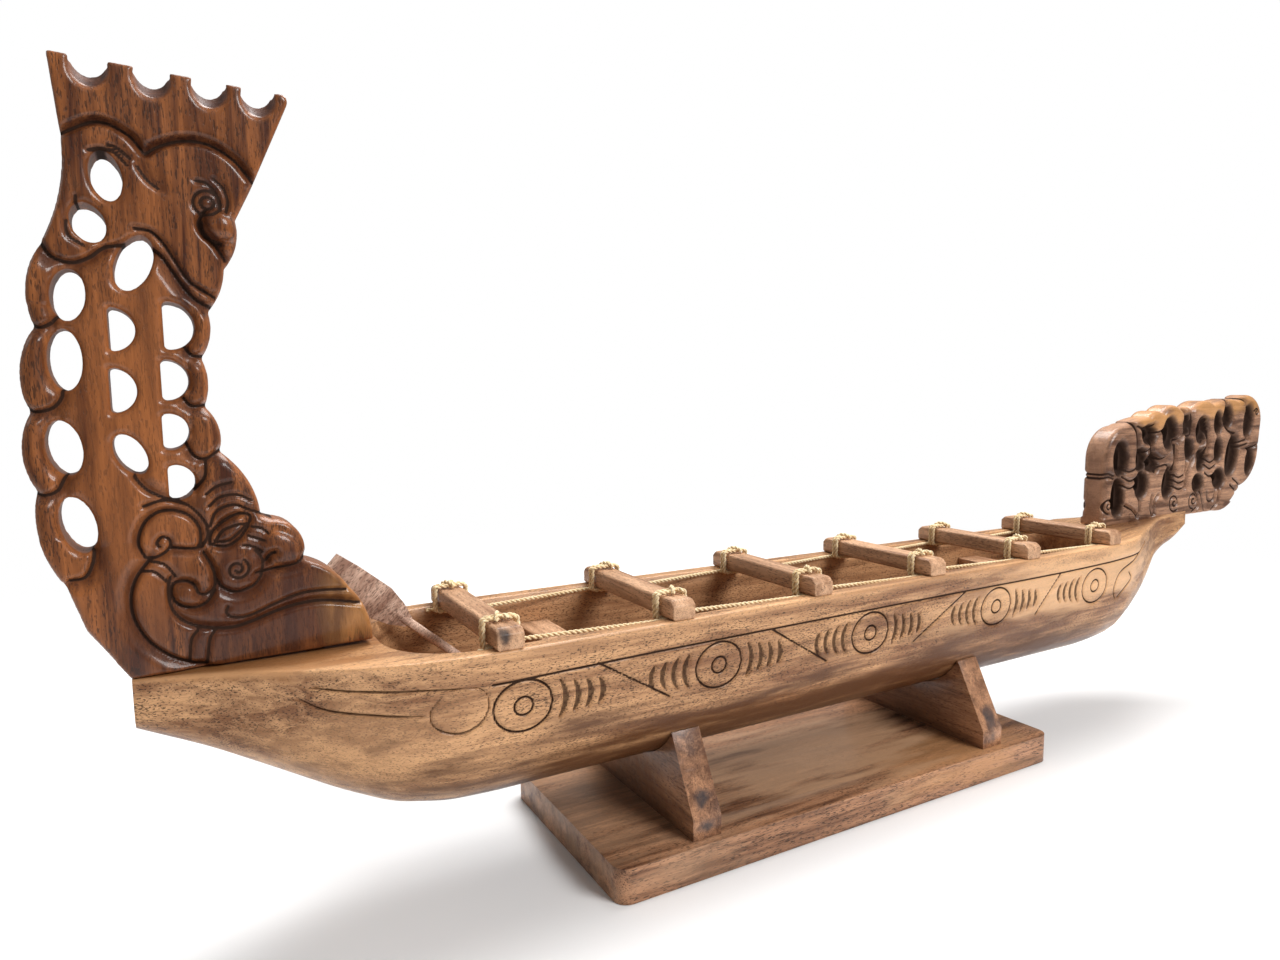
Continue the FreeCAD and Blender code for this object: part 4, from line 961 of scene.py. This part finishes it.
def hull_form(column, deep):
    """The dug-out hull: outside with its frieze, rounded gunwales and hollowed inside."""
    xs = hull_columns(column)
    is_open = (xs >= OPENING[0]) & (xs <= OPENING[1])
    y, z, side_rows, deck_rows = hull_rows(xs, is_open)
    x = np.repeat(xs[:, None], y.shape[1], 1)
    depth, dark, arris, dug_and_shaded = np.zeros((4, *y.shape))
    band = (np.arange(y.shape[1]) < side_rows)[None] & (z > FRIEZE_FOOT)
    depth[band], dark[band] = cut_away(x[band], z[band], frieze_cuts(), FRIEZE_DARK)
    y = y - depth * deep
    # The gunwale's rounded lip and the opening's lip lighten: wear, and painted highlight.
    arris[:, side_rows - 1:side_rows + 3] = 1
    arris[:, deck_rows:deck_rows + 2] = 0.7
    # The hull's inside: stronger tool marks, and painted shade.
    dug_and_shaded[:, deck_rows + 1:] = 0.45
    points = np.concatenate([np.stack((x, y * side, z), 2).reshape(-1, 3) for side in SIDES])
    obj = new_object("Hull", points, hull_faces(*y.shape, deck_rows, is_open))
    for name, values in (("dark_cuts_and_shade", dark), ("edge", arris), ("hewn_and_shade", dug_and_shaded)):
        paint(obj, name, np.tile(values.ravel(), 2))
    return obj


def tube(points, radius, sides):
    """A round strand along points."""
    forward = np.gradient(points, axis=0)
    forward /= np.linalg.norm(forward, axis=1)[:, None]
    across = np.zeros_like(points)
    seed = np.cross(forward[0], (0, 0, 1.0))
    if np.linalg.norm(seed) < 0.1:
        seed = np.cross(forward[0], (0, 1.0, 0))
    for n, ahead in enumerate(forward):
        seed = seed - ahead * seed.dot(ahead)
        seed = seed / np.linalg.norm(seed)
        across[n] = seed
    up = np.cross(forward, across)
    turns = np.linspace(0, 2 * math.pi, sides, endpoint=False)
    rings = points[:, None] + radius * (np.cos(turns)[None, :, None] * across[:, None]
                                        + np.sin(turns)[None, :, None] * up[:, None])
    return rings, across, up


def rope(name, controls, thick):
    """Two-ply twine along a spline through given control points."""
    curve = bpy.data.curves.new(name + "Route", "CURVE")
    curve.dimensions = "3D"
    curve.resolution_u = 14
    spline = curve.splines.new("NURBS")
    spline.points.add(len(controls) - 1)
    for point, place in zip(spline.points, controls):
        point.co = (*[value * MM for value in place], 1)
    spline.order_u = 3
    spline.use_endpoint_u = True
    route = bpy.data.objects.new(name + "Route", curve)
    bpy.context.scene.collection.objects.link(route)
    bpy.context.view_layer.update()
    read = bpy.data.meshes.new_from_object(route)
    line = vectors(read, "co") / MM
    bpy.data.objects.remove(route)
    bpy.data.meshes.remove(read)
    line = line[np.concatenate(([True], np.linalg.norm(np.diff(line, axis=0), axis=1) > 0.12))]
    run = np.concatenate(([0], np.cumsum(np.linalg.norm(np.diff(line, axis=0), axis=1))))
    across, up = tube(line, 1, 3)[1:]
    points = []
    faces = []
    sides = PLY_SIDES
    for ply in (0, math.pi):
        angle = ply + run / (PLY_LAY * thick) * 2 * math.pi
        strand = line + PLY_OFFSET * thick * (np.cos(angle)[:, None] * across + np.sin(angle)[:, None] * up)
        rings = tube(strand, PLY_RADIUS * thick, sides)[0]
        start = len(points)
        points += rings.reshape(-1, 3).tolist()
        for n in range(len(rings) - 1):
            for k in range(sides):
                a = start + n * sides + k
                b = start + n * sides + (k + 1) % sides
                faces.append((a, b, b + sides, a + sides))
        faces.append(tuple(start + k for k in range(sides))[::-1])
        faces.append(tuple(len(points) - sides + k for k in range(sides)))
    return new_object(name, points, faces)


def lashing_controls(side):
    """Control points of one lashing: two turns at each thwart, then along to the next."""
    controls = []
    final = len(THWART_X) - 1
    for n, x in enumerate(THWART_X):
        lanes = [side * (LASHING_INNER[n] - LANE_STEP * k) for k in range(4)]
        start = x - (RUN_REACH if n else END_REACH)
        end = x + (RUN_REACH if n < final else END_REACH)
        controls += [(start, lanes[0], DECK + LASHING_RUN), (x - 6, lanes[0], DECK + LASHING_UNDER)]
        for k in range(3):
            controls.append((x - 3, lanes[k], DECK + LASHING_UNDER))
            controls.append((x + 3, lanes[k + 1], DECK + LASHING_UNDER))
            if k < 2:
                controls += [(x + px, lanes[k + 1], DECK + pz) for px, pz in LASHING_TURN]
        controls += [(x + 6, lanes[3], DECK + LASHING_UNDER), (end, lanes[3], DECK + LASHING_RUN)]
        if n < final:
            along = THWART_X[n + 1] - RUN_REACH - end
            across = side * LASHING_INNER[n + 1] - lanes[3]
            controls += [(end + along * k / 9, lanes[3] + across * k / 9, DECK + LASHING_RUN)
                         for k in range(1, 9)]
    return controls


def knot_controls(side):
    """Control points of the short hitch and loose tail over each pair of turns."""
    knots = []
    for x, lane, shift in zip(THWART_X, LASHING_INNER, HITCH_SHIFT):
        for knot in (HITCH, TAIL):
            knots.append([(x + shift + px, side * (lane - LANE_STEP + py), DECK + pz)
                          for px, py, pz in knot])
    return knots


class CANOE_OT_stage(bpy.types.Operator):
    """Floor, light and the camera at the photo's angle."""
    bl_idname = "canoe.stage"
    bl_label = "Stage"

    def execute(self, context):
        scene = context.scene
        bpy.ops.object.select_all(action="DESELECT")
        bpy.ops.mesh.primitive_plane_add(size=30, location=(0, 0, -0.0003))
        floor = context.object
        floor.name = "Floor"
        material, tree = blank("Floor")
        body = make(tree, "ShaderNodeBsdfPrincipled", {"Base Color": (0.9, 0.9, 0.9, 1), "Roughness": 0.9})
        place = make(tree, "ShaderNodeTexCoord").outputs["Object"]
        away = vector_node(tree, "LENGTH", place).outputs["Value"]
        clear = make(tree, "ShaderNodeBsdfTransparent")
        both = make(tree, "ShaderNodeMixShader", {0: ranged(tree, away, *FLOOR_FADE), 1: body.outputs[0],
                                                  2: clear.outputs[0]})
        make(tree, "ShaderNodeOutputMaterial", {0: both.outputs[0]})
        floor.data.materials.append(material)
        for name, place, aim, size, power in LAMPS:
            bpy.ops.object.light_add(type="AREA", location=place)
            lamp = context.object
            lamp.name = name
            lamp.data.size = size
            lamp.data.energy = power
            lamp.rotation_euler = (Vector(aim) - Vector(place)).to_track_quat("-Z", "Y").to_euler()
        world = bpy.data.worlds.new("Studio")
        scene.world = world
        world.use_nodes = True
        tree = world.node_tree
        tree.nodes.clear()
        ray = make(tree, "ShaderNodeLightPath").outputs["Is Camera Ray"]
        strength = ranged(tree, ray, 0, 1, SKY, 1.0)
        sky = make(tree, "ShaderNodeBackground", {"Color": (1, 1, 1, 1), "Strength": strength})
        make(tree, "ShaderNodeOutputWorld", {0: sky.outputs[0]})
        yaw, pitch, roll = (math.radians(a) for a in CAMERA_TURN)
        ahead = Vector((math.sin(yaw) * math.cos(pitch), math.cos(yaw) * math.cos(pitch), -math.sin(pitch)))
        right = Vector((math.cos(yaw), -math.sin(yaw), 0))
        down = -right.cross(ahead)
        across = math.cos(roll) * right + math.sin(roll) * down
        below = math.cos(roll) * down - math.sin(roll) * right
        turn = Matrix((across, -below, -ahead)).transposed().to_4x4()
        bpy.ops.object.camera_add()
        camera = context.object
        camera.matrix_world = Matrix.Translation(Vector(CAMERA_PLACE) * MM) @ turn
        camera.data.lens = CAMERA_LENS
        camera.data.sensor_width = CAMERA_SENSOR
        camera.data.clip_start = 0.01
        scene.camera = camera
        scene.view_settings.view_transform = "Standard"
        return {"FINISHED"}


class CANOE_OT_stand(bpy.types.Operator):
    """The base board and the two cradles, with worn edges."""
    bl_idname = "canoe.stand"
    bl_label = "Stand"

    def execute(self, context):
        sizes = context.scene.canoe_sizes
        tint = context.scene.canoe_colours
        # Painted reflections: paler sheen on the base board's top between the cradles and at its left end.
        reflected_amber = (0.5, 0.25, 0.1)
        sheen = (0.6, 0.36, 0.21)
        painted_reflections = (((80, -46, 14), (70, 30, 20), reflected_amber, 0.55), ((5, -10, 18), (95, 50, 20), sheen, 0.75),
                ((-125, 0, 16), (60, 80, 24), sheen, 0.4))
        base_wood = wood("BaseWood", tint.stand_light, tint.stand_dark, pores=0.8, rough=0.4, coat=0.3,
                         patches=painted_reflections)
        toes = [((x, side * 58, z), (5.5, 6, 6.5), (0.022, 0.026, 0.034), 0.8)
                for x in CRADLE_X for side in SIDES for z in (24, 38)]
        toes += [((x, 0, 35), (40, 52, 60), tint.stand_dark, 0.65) for x in CRADLE_X]
        block_wood = wood("CradleWood", tint.stand_light, tint.stand_dark, turn=(0, 0, 90), pores=0.7,
                          rough=0.36, coat=0.4, dips=0.5, patches=toes)
        for node, name, edge, finish in (("base_board", "BaseBoard", 1.0, base_wood),
                                         ("cradle_stern", "CradleStern", 1.6, block_wood),
                                         ("cradle_bow", "CradleBow", 1.6, block_wood)):
            obj = copy_of(node, name)
            bevel(obj, sizes.edge * edge, 3, 40)
            settle(obj, "stand", finish, [node], 35)
        finish_node("cradle_nails", bpy.data.materials["Steel"])
        return {"FINISHED"}


class CANOE_OT_hull(bpy.types.Operator):
    """The dug-out hull with its carved frieze."""
    bl_idname = "canoe.hull"
    bl_label = "Hull"

    def execute(self, context):
        sizes = context.scene.canoe_sizes
        tint = context.scene.canoe_colours
        obj = hull_form(sizes.column / MM, sizes.frieze_depth / MM)
        tidy_mesh(obj, 0.005, 0)
        painted_bow_light = (0.78, 0.46, 0.24)
        underside_shade = (0.1, 0.037, 0.013)
        shades = (((-262, -40, 88), (80, 60, 30), tint.hull_light, 0.35),
                  # Painted shade under the hull.
                  ((120, 0, 46), (280, 130, 48), underside_shade, 0.94),
                  ((-90, 0, 44), (220, 130, 47), underside_shade, 0.94),
                  # Painted light on the bow's near side.
                  ((215, -50, 110), (130, 60, 22), painted_bow_light, 0.7),
                  ((-312, 0, 133), (75, 60, 8), (0.3, 0.125, 0.04), 0.85))
        finish = wood("HullWood", tint.hull_light, tint.hull_dark, pores=0.78, rough=0.4, coat=0.18,
                      run=640, patches=shades)
        settle(obj, "canoe", finish, ["hull"], 60)
        return {"FINISHED"}


class CANOE_OT_fittings(bpy.types.Operator):
    """Thwarts and seats across the hull."""
    bl_idname = "canoe.fittings"
    bl_label = "Thwarts and seats"

    def execute(self, context):
        tint = context.scene.canoe_colours
        stain = ((THWART_X[0] - 3, -51, DECK + 5), (4, 5, 4.5), (0.02, 0.022, 0.026), 0.85)
        finish = wood("ThwartWood", tint.thwart_light, tint.thwart_dark, turn=(0, 0, 90), pores=0.5,
                      rough=0.48, coat=0.12, patches=(stain,))
        rows = [("thwart_%d" % n, "Thwart%d" % n, 1.3, 3) for n in range(1, 7)]
        rows += [("seat_stern", "SternBench", 0.9, 2), ("seat_bow", "BowBench", 0.9, 2)]
        for node, name, edge, segments in rows:
            obj = copy_of(node, name)
            bevel(obj, edge * MM, segments, 40)
            settle(obj, "canoe", finish, [node], 35)
        finish_node("thwart_pins", bpy.data.materials["Steel"])
        return {"FINISHED"}


class CANOE_OT_lashings(bpy.types.Operator):
    """The two twine lashings along the gunwales."""
    bl_idname = "canoe.lashings"
    bl_label = "Lashings"

    def execute(self, context):
        thick = context.scene.canoe_sizes.twine / MM
        finish = twine_finish()
        for side, node, name in ((1, "lashing_cord_port", "LashingPort"),
                                 (-1, "lashing_cord_starboard", "LashingStarboard")):
            obj = rope(name, lashing_controls(side), thick)
            hitches = [rope(name + "Hitch", controls, thick) for controls in knot_controls(side)]
            alone(obj)
            for hitch in hitches:
                hitch.select_set(True)
            bpy.ops.object.join()
            tidy_mesh(obj, 0.001, 0)
            settle(obj, "canoe", finish, [node], 0)
        return {"FINISHED"}


class CANOE_OT_sternpost(bpy.types.Operator):
    """The tall pierced sternpost, carved on both faces."""
    bl_idname = "canoe.sternpost"
    bl_label = "Sternpost"

    def execute(self, context):
        tint = context.scene.canoe_colours
        cuts = bold(STERN_CUTS, *STERN_BOLD) + [(spiral(*row), *STERN_CURL) for row in STERN_SPIRALS]

        def soften(u, v):
            edge = np.where((v > 60) & (v < 150) & ((u < -16) | (u > 27)), LOBE, PLAIN)
            edge = np.where((v > 150) & (v < 200) & (u > 26), FACE, edge)
            return np.where((v > 205) | (v < 8), CRISP, edge)

        obj = carved_board("sternpost", "Sternpost", STERN_BOARD, cuts, STERN_KNOBS, soften,
                           context.scene.canoe_sizes.fineness, ovals=STERN_OVALS, crown=CROWN)
        shades = (((-266, -10, 150), (17, 30, 22), tint.ochre, 0.8),
                  ((-300, -10, 150), (48, 30, 34), tint.post_dark, 0.78),
                  ((-345, -10, 230), (26, 30, 90), tint.post_light, 0.45))
        finish = wood("SternpostWood", tint.post_light, tint.post_dark, turn=(0, 90, 0), pores=0.68,
                      rough=0.36, coat=0.36, polish=0.12, patches=shades)
        settle(obj, "stern_carving", finish, ["sternpost"], 0)
        finish_node("sternpost_pegs", bpy.data.materials["PegWood"])
        return {"FINISHED"}


class CANOE_OT_figurehead(bpy.types.Operator):
    """The pierced figurehead, carved on both faces."""
    bl_idname = "canoe.figurehead"
    bl_label = "Figurehead"

    def execute(self, context):
        tint = context.scene.canoe_colours
        cuts = bold(HEAD_CUTS, *HEAD_BOLD) + [(spiral(*row), *HEAD_CURL) for row in HEAD_SPIRALS]

        def soften(u, v):
            return np.where(v < 6, CRISP, HEAD_ROUND)

        obj = carved_board("figurehead", "Figurehead", HEAD_BOARD, cuts, HEAD_KNOBS, soften,
                           context.scene.canoe_sizes.fineness, hollows=HEAD_HOLLOWS)
        (left, foot), half = HEAD_BOARD[:2]
        shades = [((left + u, -half, foot + v), (wide, 40, 11), tint.ochre, 0.62)
                  for u, v, wide in HEAD_TOPS]
        # Painted shade on the figurehead's end that faces the stern.
        shades.append(((left, 0, 175), (7, 30, 60), tint.head_dark, 0.5))
        finish = wood("FigureheadWood", tint.head_light, tint.head_dark, pores=0.5, rough=0.36, coat=0.3,
                      polish=0.16, patches=shades)
        settle(obj, "bow_carving", finish, ["figurehead"], 0)
        finish_node("figurehead_pegs", bpy.data.materials["PegWood"])
        return {"FINISHED"}


class CANOE_OT_paddle(bpy.types.Operator):
    """The loose paddle leaning in the stern."""
    bl_idname = "canoe.paddle"
    bl_label = "Paddle"

    def execute(self, context):
        tint = context.scene.canoe_colours
        obj = copy_of("paddle", "Paddle")
        bevel(obj, 0.5 * MM, 2, 30)
        finish = wood("PaddleWood", tint.paddle_light, tint.paddle_dark, turn=(0, 41, 0), pores=0.5,
                      rough=0.62, coat=0.0, relief=0.8)
        settle(obj, "paddle", finish, ["paddle"], 40)
        return {"FINISHED"}


class CANOE_PT_panel(bpy.types.Panel):
    """The steps that make the canoe."""
    bl_idname = "CANOE_PT_panel"
    bl_label = "Carved canoe"
    bl_space_type = "VIEW_3D"
    bl_region_type = "UI"
    bl_category = "Canoe"

    def draw(self, context):
        for step in STEPS:
            self.layout.operator(step.bl_idname)
        for group in (context.scene.canoe_sizes, context.scene.canoe_colours):
            for name in group.bl_rna.properties.keys():
                if name not in ("rna_type", "name"):
                    self.layout.prop(group, name)


STEPS = (CANOE_OT_stage, CANOE_OT_stand, CANOE_OT_hull, CANOE_OT_fittings, CANOE_OT_lashings,
         CANOE_OT_sternpost, CANOE_OT_figurehead, CANOE_OT_paddle)
CLASSES = (CanoeSizes, CanoeColours) + STEPS + (CANOE_PT_panel,)


def register():
    for item in CLASSES:
        bpy.utils.register_class(item)
    bpy.types.Scene.canoe_sizes = bpy.props.PointerProperty(type=CanoeSizes)
    bpy.types.Scene.canoe_colours = bpy.props.PointerProperty(type=CanoeColours)


def unregister():
    del bpy.types.Scene.canoe_colours
    del bpy.types.Scene.canoe_sizes
    for item in reversed(CLASSES):
        bpy.utils.unregister_class(item)


def main():
    register()
    tint = bpy.context.scene.canoe_colours
    wood_group()
    patch_group()
    steel_finish()
    wood("PegWood", tint.thwart_light, tint.thwart_dark, turn=(0, 90, 0))
    bpy.ops.canoe.stage()
    bpy.ops.canoe.stand()
    bpy.ops.canoe.hull()
    bpy.ops.canoe.fittings()
    bpy.ops.canoe.lashings()
    bpy.ops.canoe.sternpost()
    bpy.ops.canoe.figurehead()
    bpy.ops.canoe.paddle()


if __name__ == "__main__":
    main()
